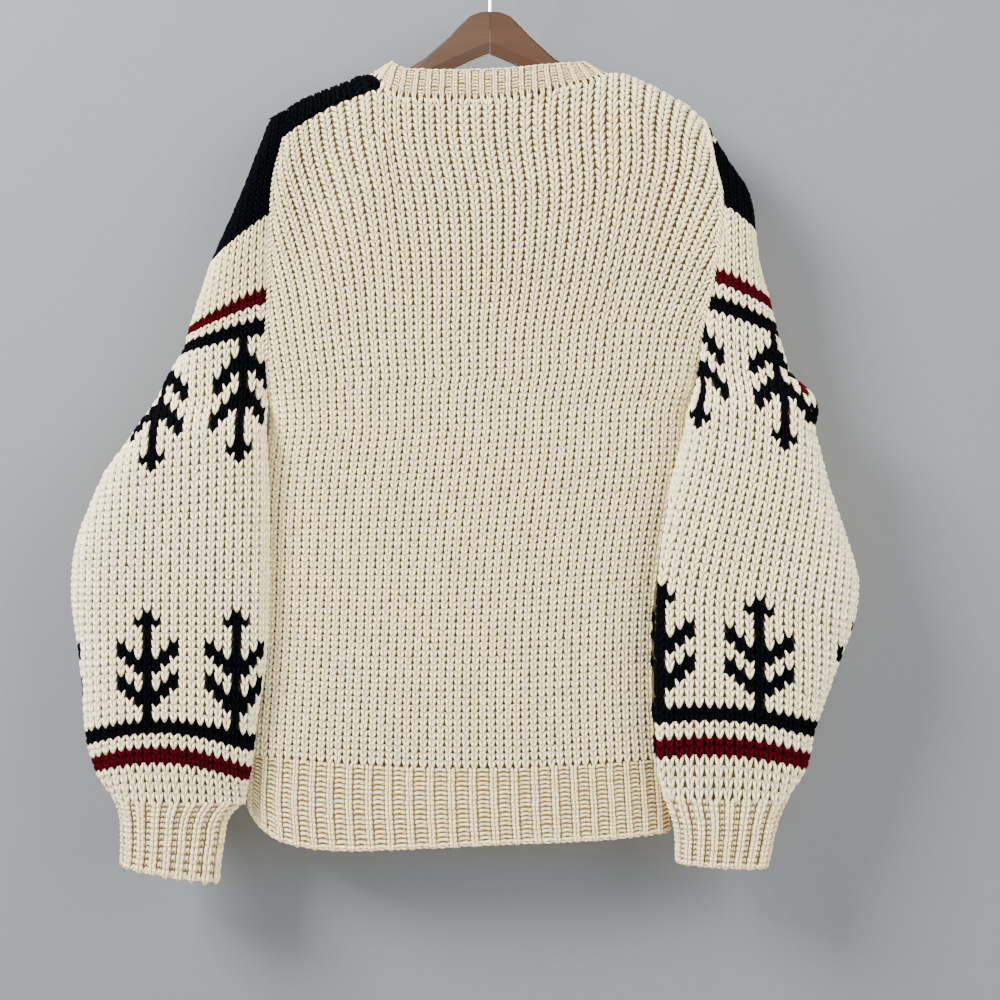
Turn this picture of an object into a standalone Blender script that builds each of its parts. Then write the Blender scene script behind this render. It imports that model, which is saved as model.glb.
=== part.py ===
"""Chunky hand-knitted pullover with yoke, stripes and tree motifs, hung by its shoulders on a wooden hanger.

Lengths are in millimetres until MM turns them into metres. The hanger's hook is held at the origin, at the
inner top of its round. +Z is up, +X is to the right as seen from the back, and the back faces -Y.
"""

import math

import bmesh
import bpy
from mathutils import Vector

MM = 0.001

# Driving sizes
WALL = 4.5  # chunky stocking stitch
SEAM = 0.3  # gap between two pieces that are sewn together
ROUNDNESS = 2.4  # exponent of the tubes' sections: 2 is an ellipse, more is boxier
BODY_DEPTH = 24.0  # half the body's depth
SHOULDER_DROP = 40.0  # height over which front and back round over to the ridge
ARMHOLE_DEPTH = 16.0  # half the armhole's opening, front to back
ARMHOLE_ROUND = 70.0  # height over which the underarm's bottom rounds off
BAND_WALL = 6.5  # the neckband is knitted double
BAND_PROUD = 1.0
RIB_WALL = 5.0
RIB_RAISE = 1.1  # a knit column stands out by this, and a purl column sinks by as much
BODY_RIBS = 23  # knit columns across each half of the hem
CUFF_RIBS = 17
BAND_RIBS = 46
DRAPE_DROP = 35.0  # below the underarm, the sleeve swings in front of the body's side over this height
WIRE_RADIUS = 1.6
HOOK_RADIUS = 20.0  # inside its round
STEM_DEPTH = 18.0  # length of the hook's stem inside the wood

# Height and width of the armhole's edge, from the shoulder's end to the underarm: (z, x)
LEFT_ARMHOLE = ((-168, -183), (-198, -184), (-230, -192), (-263, -195.5), (-341, -198.5), (-382, -200.3), (-426, -199.8))
RIGHT_ARMHOLE = (
    (-184, 193.5), (-218, 200), (-251, 207.5), (-291, 205), (-314, 201.5), (-338, 197), (-366, 190.5), (-393, 187.6),
    (-405, 187),
)  # fmt: skip

# The body's sides below the underarm: (z, x)
LEFT_SIDE = (
    (-426, -199.8), (-436, -198.2), (-446, -197.6), (-457, -197.6), (-471, -200), (-498, -203.5), (-538, -206),
    (-591, -207), (-646, -209), (-700, -212.4), (-754, -216), (-790, -217.8), (-830, -215),
)  # fmt: skip
RIGHT_SIDE = (
    (-405, 187), (-424, 182), (-439, 177.5), (-460, 176), (-486, 174.6), (-520, 169.2), (-556, 163), (-600, 157.5),
    (-655, 154.8), (-711, 155.7), (-754, 158.4), (-790, 161), (-830, 163),
)  # fmt: skip

# Columns of the back, from its left side to its right: (x at the underarm, x at the top, z at the top, how far the
# cloth there has turned over the shoulder, in degrees). Rows 6 and 15, counted from 0, are the ends of the neck.
BACK_COLUMNS = (
    (-199.8, -184, -198, 14), (-196, -181.5, -196, 15), (-187, -175, -191, 18), (-172, -161, -181.5, 24),
    (-152, -142, -171, 31), (-130, -118, -161.5, 34), (-105, -93, -153, 37),
    (-85, -79.5, -162, 20), (-62, -58, -163.6, 14), (-36, -34, -164.3, 10), (-10, -9, -164.3, 8), (17, 17, -162.8, 9),
    (44, 43, -158.7, 15), (69, 67, -153, 28), (92, 88, -147, 52), (110, 106.5, -137, 90),
    (130, 124, -138.4, 90), (150, 146, -148.5, 90), (168, 167, -159.8, 90), (179, 182, -169, 90), (184.5, 190, -178, 90),
    (187, 193.5, -184, 90),
)  # fmt: skip
BACK_NECK = (6, 15)

# Columns of the front, in the same way. On the left it turns past the ridge (90 degrees) and down to the back, and
# there the fifth number is x at the ridge. Rows 6 and 21 are the ends of the neck.
FRONT_COLUMNS = (
    (-199.8, -184, -198, 166, -183), (-196, -181.5, -196, 165, -181), (-187, -175, -191, 162, -176),
    (-172, -161, -181.5, 156, -165), (-152, -142, -171, 149, -149), (-132, -118, -161.5, 146, -128),
    (-120, -93, -153, 143, -115), (-114, -101, -142, 118, -111), (-108, -107, -137.5, 92, -107.5),
    (-100, -106, -142, 66), (-91, -103, -158, 40),
    (-80, -92, -190, 18), (-63, -70, -217, 8), (-39, -42, -233, 5), (-13, -14, -239, 5), (14, 14, -239, 5),
    (40, 42, -233, 5), (63, 70, -217, 8), (82, 92, -190, 18), (95, 102.5, -160, 38), (103, 105.8, -142, 66),
    (111, 106.5, -137, 90), (130, 124, -138.4, 90), (150, 146, -148.5, 90), (168, 167, -159.8, 90),
    (179, 182, -169, 90), (184.5, 190, -178, 90), (187, 193.5, -184, 90),
)  # fmt: skip
FRONT_NECK = (6, 21)
FRONT_TURNED = 8  # the last row that turns past the ridge

# How far the neckband's edge lies from its seam, at each column of the neck: (across, up)
BACK_BAND = ((7, 21), (4, 24), (2, 24.6), (0, 24.7), (0, 24.8), (0, 24.8), (-1, 23.2), (-5, 20.5), (-11, 17), (-20, 11.5))
FRONT_BAND = (
    (7, 21), (14, 14.5), (18, 9), (19.5, 12), (21, 13), (21, 15), (16, 19), (9, 23), (3, 24.5), (-3, 24.5),
    (-9, 23), (-16, 19), (-21, 15), (-21, 13), (-22, 13), (-20, 11.5),
)  # fmt: skip

# Outer edges of the sleeves, from the shoulder's end to the cuff: (z, x)
LEFT_OUTER = (
    (-168, -183), (-176, -195), (-194, -202.4), (-217, -211.4), (-241, -220.3), (-274, -234.7), (-308, -250),
    (-338, -260), (-368, -269.6), (-387, -275), (-405, -287), (-429, -298), (-464, -317), (-495, -339), (-525, -353),
    (-557, -364.7), (-591, -369), (-618, -368), (-641, -364.7), (-681, -360), (-727, -356.7), (-756, -349.6),
    (-769, -343.4), (-783, -332),
)  # fmt: skip
RIGHT_OUTER = (
    (-184, 193.5), (-198, 202), (-220, 215), (-239, 228.5), (-256, 234.8), (-276, 237.4), (-308, 241), (-343, 251),
    (-368, 257), (-395, 265.6), (-405, 268), (-425, 285), (-442, 289), (-456, 286), (-477, 290.8), (-510, 299.7),
    (-544, 311), (-581, 322.7), (-593, 324.5), (-617, 322.7), (-639, 316.5), (-665, 306.7), (-692, 297), (-711, 290),
    (-726, 285.5), (-756, 279.3), (-765, 274), (-782, 262.6),
)  # fmt: skip

# Inner edges of the sleeves below the underarm: (z, x)
LEFT_INNER = (
    (-426, -199.8), (-436, -199.4), (-446, -199), (-458, -198.6), (-471, -197.6), (-498, -196.3), (-522, -195.5),
    (-590, -195.5), (-612, -196.3), (-660, -198), (-727, -208), (-756, -211.5), (-785, -217),
)  # fmt: skip
RIGHT_INNER = (
    (-405, 187), (-418, 184.6), (-427, 181), (-440, 175), (-461, 172), (-486, 165), (-514, 158), (-542, 151.7),
    (-573, 146.4), (-598, 142.8), (-635, 139.3), (-660, 139.3), (-708, 140.2), (-741, 142), (-750, 144.6),
    (-779, 153.5),
)  # fmt: skip

# Half depth of a sleeve by height: (z, half depth)
SLEEVE_DEPTH = ((-168, 17), (-230, 20), (-300, 24), (-420, 26), (-560, 29), (-680, 27), (-750, 22), (-785, 16))

# Rings of the sleeves below the armhole: (z at the outer edge, z at the inner edge)
LEFT_RINGS = (
    (-176, -430), (-194, -435), (-217, -440), (-241, -446), (-274, -453), (-308, -461), (-340, -470), (-368, -481),
    (-392, -494), (-425, -512), (-462, -536), (-497, -560), (-530, -584), (-563, -608), (-600, -634), (-641, -664),
    (-690, -702), (-735, -738), (-765, -764), (-783, -785),
)  # fmt: skip
RIGHT_RINGS = (
    (-198, -409), (-214, -414), (-232, -420), (-252, -427), (-276, -435), (-305, -444), (-338, -455), (-370, -468),
    (-398, -483), (-420, -500), (-442, -518), (-462, -537), (-500, -562), (-545, -590), (-590, -620), (-635, -654),
    (-685, -694), (-730, -735), (-764, -762), (-782, -779),
)  # fmt: skip

# Rings of the cuffs: (outer x, outer z, inner x, inner z, half depth)
LEFT_CUFF = (
    (-332, -783, -217, -785, 16), (-326.5, -800, -231.5, -801, 15), (-325.5, -822, -236.5, -824, 14),
    (-326.5, -842, -240.5, -857, 13.5),
)  # fmt: skip
RIGHT_CUFF = (
    (262.6, -782, 153.5, -779, 16), (254, -801, 162, -802, 15), (249, -822, 164.3, -821, 14),
    (244.5, -843, 164.3, -838.5, 13.5),
)  # fmt: skip

# The hem's ribbing: (x, z at its top, z at its bottom)
HEM_EDGES = (
    (-217, -747, -796), (-207, -747.5, -810), (-191, -748.5, -822), (-146, -751.5, -829.5), (-71, -755.3, -827.5),
    (9, -756.3, -823.7), (89, -753.6, -821), (161, -750, -816.5),
)  # fmt: skip

# Folds of the back and the front: (across and up, each 0 to 1, across and up again for the other end,
# half width, height), where a trough has a negative height
BACK_FOLDS = (
    (0.035, 0.97, 0.02, 0.72, 0.03, 2.6),
    (0.10, 0.86, 0.075, 0.38, 0.045, -4.5),
    (0.93, 0.86, 0.905, 0.30, 0.045, -4.5),
    (0.975, 0.80, 0.965, 0.42, 0.03, 2.6),
    (0.46, -0.45, 0.455, -0.98, 0.03, 1.6),
    (0.86, -0.40, 0.88, -0.98, 0.035, 1.8),
)
FRONT_FOLDS = (
    (0.10, 0.70, 0.08, 0.20, 0.045, -4.0),
    (0.90, 0.70, 0.92, 0.20, 0.045, -4.0),
    (0.35, -0.50, 0.34, -0.98, 0.03, 1.6),
    (0.70, -0.40, 0.71, -0.98, 0.035, 1.8),
)

# The hanger's arms: (distance from the middle, top, bottom, half thickness, height of the top's rounding)
ARM_SECTIONS = (
    (0.15, -80.4, -118.6, 6, 3), (9, -81.2, -122, 6, 3), (18, -84.5, -126, 6, 3.5), (27, -93, -130, 6, 4),
    (36, -102.5, -134, 6, 4), (46, -111.5, -138.5, 6, 4), (58, -122, -144, 6, 5), (73, -131.5, -151, 6, 7),
    (88, -139.5, -159, 6, 9), (105, -146, -167.5, 6, 11), (125, -151, -177, 6, 12),
)  # fmt: skip
ARM_SEATS = (150, 158, 166, 173)  # distances at which the arm carries the cloth
ARM_END = (180, 9.0, 3.5)  # distance, how far its top lies below the last seat, half thickness
ARM_HEIGHT = 27.0
CHAMFER = 9.0

COLOURS = {
    "cream_wool": ((0.70, 0.64, 0.48), 0.95, 0.0),
    "cream_rib": ((0.66, 0.59, 0.42), 0.95, 0.0),
    "pale_beech": ((0.55, 0.33, 0.17), 0.5, 0.0),
    "steel_wire": ((0.55, 0.56, 0.58), 0.3, 1.0),
}

BODY_ROWS = 9  # spans of a panel below the underarm
BACK_ROWS = 10  # spans above it
FRONT_ROWS = 12
FRONT_RIDGE_ROW = 9  # the row that runs along the ridge where the front turns over it
TURN_START = 0.66  # share of the way up to the ridge at which the front starts to round over
BOWED_RINGS = 8  # rings of a sleeve over which the armhole's bow fades out
RING_STEP = 1.3  # the least distance between two rings beside the armhole
BAND_LEFT_CORNER = 40.0  # degrees round a sleeve's ring from its outer edge to the shoulder seam


def smooth(table, at, column=1):
    """A column of a table at a place along its first column, on a smooth curve through the rows."""
    rows = sorted(table)
    xs = [row[0] for row in rows]
    ys = [row[column] for row in rows]
    if at <= xs[0]:
        return ys[0]
    if at >= xs[-1]:
        return ys[-1]
    i = max(k for k in range(len(xs) - 1) if xs[k] <= at)

    def slope(k):
        low, high = max(k - 1, 0), min(k + 1, len(xs) - 1)
        return (ys[high] - ys[low]) / (xs[high] - xs[low])

    width = xs[i + 1] - xs[i]
    t = (at - xs[i]) / width
    return (
        ys[i] * (1 + 2 * t) * (1 - t) ** 2
        + ys[i + 1] * t * t * (3 - 2 * t)
        + width * (slope(i) * t * (1 - t) ** 2 - slope(i + 1) * t * t * (1 - t))
    )


def ease(t):
    """0 to 1 with level ends."""
    t = min(max(t, 0.0), 1.0)
    return t * t * (3 - 2 * t)


def power(value, exponent):
    return math.copysign(abs(value) ** exponent, value)


def bulge(s):
    """Height of a tube's section at a place across it, from -1 to 1."""
    return max(1 - abs(s) ** ROUNDNESS, 0.0) ** (1 / ROUNDNESS)


def apex(column, inset=0.0):
    """Height of the ridge that a column of cloth turns over."""
    turn = math.radians(column[3])
    return column[2] + SHOULDER_DROP * (1 - math.sin(turn)) - inset


def armhole_x(side, z):
    return smooth(LEFT_ARMHOLE if side < 0 else RIGHT_ARMHOLE, z)


def underarm(side):
    return (LEFT_ARMHOLE if side < 0 else RIGHT_ARMHOLE)[-1]


def side_x(side, z):
    return smooth(LEFT_SIDE if side < 0 else RIGHT_SIDE, z)


def armhole_half(side, z, inset=0.0):
    """Half the armhole's opening at a height, before the shoulder's rounding."""
    rise = (z - underarm(side)[0] - inset) / ARMHOLE_ROUND
    rise = min(max(rise, 0.0), 1.0)
    return (ARMHOLE_DEPTH - inset) * math.sqrt(1 - (1 - rise) ** 2)


def hem_edge(across, column):
    """Height of the ribbing's top or bottom edge at a share of the way across the body."""
    left, right = side_x(-1, -790), side_x(1, -790)
    return smooth(HEM_EDGES, left + (right - left) * across, column)


def fold_height(folds, across, up):
    total = 0.0
    for a0, u0, a1, u1, half_width, height in folds:
        run = Vector((a1 - a0, (u1 - u0) * 0.5))
        here = Vector((across - a0, (up - u0) * 0.5))
        along = min(max(here.dot(run) / run.length_squared, 0.0), 1.0)
        away = (here - run * along).length / half_width
        total += height * math.exp(-away * away) * math.sin(math.pi * min(max(0.08 + 0.84 * along, 0), 1)) ** 0.5
    return total


class Panel:
    """The front or the back as a surface over its columns and its height.

    Height is -1 at the ribbing's top edge, 0 at the underarm and 1 at the shoulder and the neck.
    """

    def __init__(self, columns, facing, folds, anchored=None):
        self.columns = columns
        self.facing = facing
        self.folds = folds
        self.anchored = anchored  # (row fraction, number of rows) that stays on the ridge

    def across(self, j):
        first, last = self.columns[0][0], self.columns[-1][0]
        return (self.columns[j][0] - first) / (last - first)

    def angle(self, j):
        """Angle of a column round the tube's section, from pi on the left to 0 on the right."""
        c = 2 * self.across(j) - 1
        return math.acos(power(max(-1.0, min(1.0, c)), ROUNDNESS / 2))

    def lean(self, j, inset):
        """Radians that the column turns through, less the seam's gap."""
        turn = math.radians(self.columns[j][3])
        return turn - (SEAM / 2) / (BODY_DEPTH - inset)

    def early(self, share):
        """Share of the way to the ridge, in rows that lie closer together where the cloth rounds over."""
        rise = share / self.anchored
        return 0.83 * min(rise / TURN_START, 1.0) + 0.17 * min(max((rise - TURN_START) / (1 - TURN_START), 0.0), 1.0)

    def beyond(self, share):
        """Share of the way from the ridge to the edge on its other side."""
        return max((share - self.anchored) / (1 - self.anchored), 0.0)

    def height_on(self, j, share, inset):
        """Height and turn at a share of the column's length above the underarm."""
        column = self.columns[j]
        top = apex(column, inset)
        drop = SHOULDER_DROP - inset
        left, right = underarm(-1)[0], underarm(1)[0]
        low = left + (right - left) * self.across(j)
        low += inset * abs(2 * self.across(j) - 1) ** 24
        turn_end = self.lean(j, inset)
        straight = top - drop - low
        radius = (BODY_DEPTH + drop) / 2
        if self.anchored and turn_end > math.pi / 2:
            length = (straight + radius * math.pi / 2) * self.early(share)
            length += radius * (turn_end - math.pi / 2) * self.beyond(share)
        else:
            lead = max(1 - (j - FRONT_TURNED) / 8, 0.0) if self.anchored else 0.0
            ahead = 0.965 * self.early(share) + 0.035 * self.beyond(share) if lead else 0.0
            length = (straight + radius * turn_end) * (share + (ahead - share) * lead)
        if length <= straight:
            return low + length, 0.0
        turn = min((length - straight) / radius, turn_end)
        return top - drop + drop * math.sin(turn), turn

    def point(self, j, share, inset=0.0):
        """A point above the underarm."""
        z, turn = self.height_on(j, share, inset)
        left_z, left_turn = self.height_on(0, share, inset)
        right_z, right_turn = self.height_on(len(self.columns) - 1, share, inset)
        left, right = armhole_x(-1, left_z), armhole_x(1, right_z)
        across = self.across(j)
        c = 2 * across - 1
        middle, half = (left + right) / 2, (right - left) / 2
        x = middle + c * half
        top_left, top_right = self.columns[0][1], self.columns[-1][1]
        plain = top_left + (top_right - top_left) * across
        column = self.columns[j]
        reach = (min(share / TURN_START, 1.0) if self.anchored else share) ** 1.5
        held = min(j, len(self.columns) - 1 - j, 4) / 4 if self.anchored else 0.0
        x += (column[4 if len(column) > 4 else 1] - plain + (plain - x) * held) * reach
        if len(column) > 4:
            x += (column[1] - column[4]) * self.beyond(share)
        edge_half = armhole_half(-1, left_z, inset) if c < 0 else armhole_half(1, right_z, inset)
        depth = BODY_DEPTH - inset
        blend = bulge(c)
        y = (depth**ROUNDNESS * blend**ROUNDNESS + edge_half**ROUNDNESS * (1 - blend**ROUNDNESS)) ** (1 / ROUNDNESS)
        y += fold_height(self.folds, across, share) * blend
        return Vector((x, self.facing * y * math.cos(turn), z))

    def point_below(self, j, down, inset=0.0, bottom=None):
        """A point below the underarm: down is 0 there and 1 at the ribbing, or runs on to the bottom edge."""
        across = self.across(j)
        left, right = underarm(-1)[0], underarm(1)[0]
        return self.section_point(across, down, inset, left + (right - left) * across)

    def section_point(self, across, down, inset, top, bottom=None, raised=0.0):
        c = 2 * across - 1
        low = hem_edge(across, 1) if bottom is None else bottom
        z = top + (low - top) * down
        left, right = side_x(-1, z) + inset, side_x(1, z) - inset
        x = (left + right) / 2 + c * (right - left) / 2
        depth = BODY_DEPTH - inset
        y = depth * bulge(c) + fold_height(self.folds, across, -down) * bulge(c) ** 2
        point = Vector((x, self.facing * y, z))
        if raised:
            out = Vector((power(abs(c) ** (ROUNDNESS - 1), 1) * math.copysign(1, c) * depth / (right - left) * 2,
                          self.facing * max(bulge(c), 0.15) ** (ROUNDNESS - 1), 0)).normalized()  # fmt: skip
            point += out * raised
        return point


def rows_above(count):
    """Shares of the height from the underarm to the top, closer together at both ends."""
    return [(1 - math.cos(math.pi * i / count)) / 2 for i in range(count + 1)]


RIDGE_SHARE = rows_above(FRONT_ROWS)[FRONT_RIDGE_ROW]
BACK = Panel(BACK_COLUMNS, -1, BACK_FOLDS)
FRONT = Panel(FRONT_COLUMNS, 1, FRONT_FOLDS, RIDGE_SHARE)


def add_object(name, verts, faces, material):
    mesh = bpy.data.meshes.new(name)
    mesh.from_pydata([Vector(v) * MM for v in verts], [], faces)
    bm = bmesh.new()
    bm.from_mesh(mesh)
    bmesh.ops.recalc_face_normals(bm, faces=bm.faces)
    bm.to_mesh(mesh)
    bm.free()
    mesh.shade_smooth()
    mesh.set_sharp_from_angle(angle=math.radians(50))
    mesh.materials.append(material)
    obj = bpy.data.objects.new(name, mesh)
    bpy.context.collection.objects.link(obj)
    return obj


def wall(name, outer, inner, closed, material):
    """A wall between two grids of points, each a list of rows of the same length."""
    width = len(outer[0])
    verts, faces = [], []
    start = {}
    for key, grid in (("outer", outer), ("inner", inner)):
        start[key] = len(verts)
        for row in grid:
            verts.extend(row)

    def at(key, i, j):
        return start[key] + i * width + j % width

    spans = width if closed else width - 1
    for key, grid in (("outer", outer), ("inner", inner)):
        for i in range(len(grid) - 1):
            for j in range(spans):
                quad = (at(key, i, j), at(key, i, j + 1), at(key, i + 1, j + 1), at(key, i + 1, j))
                faces.append(quad if key == "outer" else quad[::-1])
    for j in range(spans):
        for i, k, flip in ((0, 0, False), (len(outer) - 1, len(inner) - 1, True)):
            quad = (at("inner", k, j), at("inner", k, j + 1), at("outer", i, j + 1), at("outer", i, j))
            faces.append(quad[::-1] if flip else quad)
    if not closed:
        for j, flip in ((0, True), (width - 1, False)):
            out = [at("outer", i, j) for i in range(len(outer))]
            into = [at("inner", i, j) for i in range(len(inner))]
            if len(out) == len(into):
                strips = [[out[i], out[i + 1], into[i + 1], into[i]] for i in range(len(out) - 1)]
            else:
                strips = [out + into[::-1]]
            faces.extend(ring[::-1] if flip else ring for ring in strips)
    return add_object(name, verts, faces, material)


def parted(point, facing):
    """A point of a side edge, moved off the plane of the side seam."""
    if abs(point.y) < SEAM / 2:
        point.y = facing * SEAM / 2
    return point


def panel_grid(panel, rows, inset):
    last = len(panel.columns) - 1
    grid = []
    for i in range(BODY_ROWS, 0, -1):
        row = [panel.point_below(j, i / BODY_ROWS, inset) for j in range(last + 1)]
        grid.append([parted(p, panel.facing) for p in row])
    for share in rows_above(rows):
        row = [panel.point(j, share, inset) for j in range(last + 1)]
        row = [parted(p, panel.facing) if share == 0 else p for p in row]
        row[0].x += SEAM / 2
        row[-1].x -= SEAM / 2
        grid.append(row)
    return grid


def build_panels(material):
    for name, panel, rows in (("back_panel", BACK, BACK_ROWS), ("front_panel", FRONT, FRONT_ROWS)):
        wall(name, panel_grid(panel, rows, 0.0), panel_grid(panel, rows, WALL), False, material)


def rib_height(column):
    """Ridge, ridge, furrow: one knit column and one purl column take three columns of points."""
    return -RIB_RAISE if column % 3 == 2 else RIB_RAISE


def build_hems(material):
    columns = BODY_RIBS * 3 + 1
    for name, panel in (("back_hem_rib", BACK), ("front_hem_rib", FRONT)):
        outer, inner = [], []
        for down in (0.0, 0.3, 0.7, 1.0):
            outer_row, inner_row = [], []
            for column in range(columns):
                across = (1 - math.cos(math.pi * column / (columns - 1))) / 2
                across = 0.25 * across + 0.75 * column / (columns - 1)
                top = hem_edge(across, 1) - SEAM * 1.3
                low = hem_edge(across, 2)
                end = column in (0, columns - 1)
                raised = 0.0 if end else rib_height(column)
                outer_row.append(parted(panel.section_point(across, down, 0.0, top, low, raised), panel.facing))
                if down in (0.0, 1.0):
                    inner_row.append(parted(panel.section_point(across, down, RIB_WALL, top, low), panel.facing))
            outer.append(outer_row)
            if inner_row:
                inner.append(inner_row)
        wall(name, outer, inner, False, material)


def armhole_loop(side, inset):
    """The armhole's edge on the body, from the underarm up the back and down the front."""
    back_j = 0 if side < 0 else len(BACK_COLUMNS) - 1
    front_j = 0 if side < 0 else len(FRONT_COLUMNS) - 1
    up_back = [BACK.point(back_j, share, inset) for share in rows_above(BACK_ROWS)]
    down_front = [FRONT.point(front_j, share, inset) for share in reversed(rows_above(FRONT_ROWS))]
    return up_back, down_front


def sleeve_edges(side, z):
    """x of the outer and the inner edge, half depth and how open the section is on its inner side."""
    outer = smooth(LEFT_OUTER if side < 0 else RIGHT_OUTER, z)
    low = underarm(side)[0]
    depth = smooth(SLEEVE_DEPTH, z)
    top = (LEFT_OUTER if side < 0 else RIGHT_OUTER)[0][0]
    turn = math.asin(min(max(1 - (top - z) / SHOULDER_DROP, 0.0), 1.0))
    if z >= low:
        return outer, armhole_x(side, z), depth * math.cos(turn), armhole_half(side, z) * math.cos(turn)
    return outer, smooth(LEFT_INNER if side < 0 else RIGHT_INNER, z), depth, 0.0


def sleeve_middle(side, z):
    """y of a sleeve's middle: below the underarm it swings in front of the body's side."""
    swing = 21.0 if side < 0 else 25.0
    return -swing * ease((underarm(side)[0] - z) / DRAPE_DROP)


def sleeve_half(side, x, z, inset=0.0):
    """Half depth of a sleeve at a place of its outline."""
    outer, inner, depth, opening = sleeve_edges(side, z)
    far = (1 - min(opening / depth, 1.0) ** ROUNDNESS) ** (1 / ROUNDNESS) if depth > 0 else 1.0
    s = -1 + (1 + far) * (x - outer) / (inner - outer) if inner != outer else 0.0
    return depth * bulge(min(max(s, -1.0), 1.0))


def ring_angles(side):
    """Angles round a sleeve's ring, from the inner edge over the back to the outer edge and back over the front."""
    corner = math.radians(BAND_LEFT_CORNER) if side < 0 else 0.0
    back = [math.pi - (math.pi - corner) * i / BACK_ROWS for i in range(BACK_ROWS + 1)]
    over = FRONT_ROWS - FRONT_RIDGE_ROW if side < 0 else 0
    front = [corner * (1 - i / over) for i in range(1, over + 1)] if over else []
    rest = FRONT_ROWS - over
    front += [-math.pi * i / rest for i in range(1, rest)]
    return back, front


def armhole_bow(side, share):
    """How far the armhole's edge bows outwards from the straight line between its ends, 0 at the underarm."""
    rows = LEFT_ARMHOLE if side < 0 else RIGHT_ARMHOLE
    (top_z, top_x), (low_z, low_x) = rows[0], rows[-1]
    return armhole_x(side, low_z + (top_z - low_z) * share) - (low_x + (top_x - low_x) * share)


def sleeve_ring(side, index, outer_z, inner_z, inset):
    bowed = max(1 - index / BOWED_RINGS, 0.0)
    outer_x = sleeve_edges(side, outer_z)[0]
    inner_x = sleeve_edges(side, inner_z)[1]
    back, front = ring_angles(side)
    middle = Vector(((outer_x + inner_x) / 2, (outer_z + inner_z) / 2))
    half = Vector((outer_x, outer_z)) - middle
    ring = []
    for angle in back + front:
        place = middle + half * math.cos(angle)
        place.x += bowed * armhole_bow(side, (1 + math.cos(angle)) / 2)
        above = place.y - underarm(side)[0]
        if above > -DRAPE_DROP:
            edge = armhole_x(side, place.y) if above > 0 else side_x(side, place.y)
            step = SEAM + 0.7 + RING_STEP * (index + 1) * min(max(above / 20, 0.0), 1.0)
            place.x = side * max(side * place.x, side * edge + step)
        depth = sleeve_half(side, place.x, place.y)
        y = sleeve_middle(side, place.y) - math.copysign(depth, math.sin(angle))
        ring.append(Vector((place.x, y, place.y)))
    return inset_ring(ring, inset) if inset else ring


def inset_ring(ring, inset):
    """Moves each point of a closed ring inwards, in the ring's own plane."""
    middle = sum(ring, Vector()) / len(ring)
    normal = Vector()
    for a, b in zip(ring, ring[1:] + ring[:1]):
        normal += (a - middle).cross(b - middle)
    normal.normalize()
    result = []
    for before, point, after in zip(ring[-1:] + ring[:-1], ring, ring[1:] + ring[:1]):
        inward = normal.cross((after - before).normalized())
        if inward.dot(middle - point) < 0:
            inward.negate()
        result.append(point + inward.normalized() * inset)
    return result


def build_sleeve(name, side, rings, material):
    outer, inner = [], []
    for grid, inset in ((outer, 0.0), (inner, WALL)):
        up_back, down_front = armhole_loop(side, inset)
        loop = up_back + down_front[1:-1]
        for point in loop:
            point.x += side * SEAM / 2
        grid.append(loop)
        for index, (outer_z, inner_z) in enumerate(rings):
            grid.append(sleeve_ring(side, index, outer_z, inner_z, inset))
    return wall(name, outer, inner, True, material)


def build_cuff(name, side, table, material):
    columns = CUFF_RIBS * 3
    outer, inner = [], []
    swing = sleeve_middle(side, -800)
    for index, (outer_x, outer_z, inner_x, inner_z, depth) in enumerate(table):
        middle = Vector(((outer_x + inner_x) / 2, (outer_z + inner_z) / 2))
        half = Vector((outer_x, outer_z)) - middle
        down = Vector((half.y, -half.x)).normalized() * (1 if half.x > 0 else -1)
        if index == 0:
            middle += down * SEAM
        row_outer, row_inner = [], []
        for column in range(columns):
            angle = 2 * math.pi * column / columns
            c, s = math.cos(angle), math.sin(angle)
            for row, grow in ((row_outer, rib_height(column)), (row_inner, -RIB_WALL)):
                place = middle + half.normalized() * (half.length + grow) * power(c, 2 / ROUNDNESS)
                row.append(Vector((place.x, swing - (depth + grow) * power(s, 2 / ROUNDNESS), place.y)))
        outer.append(row_outer)
        inner.append(row_inner)
    return wall(name, outer, inner, True, material)


def neck_loop():
    """Vertices round the neck: the panels' top edges outside and inside, and the way to the band's edge."""
    loop = []
    for panel, band, neck, step in ((BACK, BACK_BAND, BACK_NECK, 1), (FRONT, FRONT_BAND, FRONT_NECK, -1)):
        columns = list(range(neck[0], neck[1] + 1))
        rows = list(zip(columns, band))[::step]
        for j, (across, up) in rows[:-1]:
            seam = panel.point(j, 1.0, 0.0)
            under = panel.point(j, 1.0, WALL)
            out = (seam - under).normalized()
            rise = Vector((across, -0.08 * seam.y, up))
            loop.append((seam, out, rise))
    gaps = []
    for i, (seam, out, rise) in enumerate(loop):
        edge = loop[(i + 1) % len(loop)][0] - loop[i - 1][0]
        gaps.append(out.cross(edge).normalized() * SEAM * 1.5)
    return [(*entry, gap) for entry, gap in zip(loop, gaps)]


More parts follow.
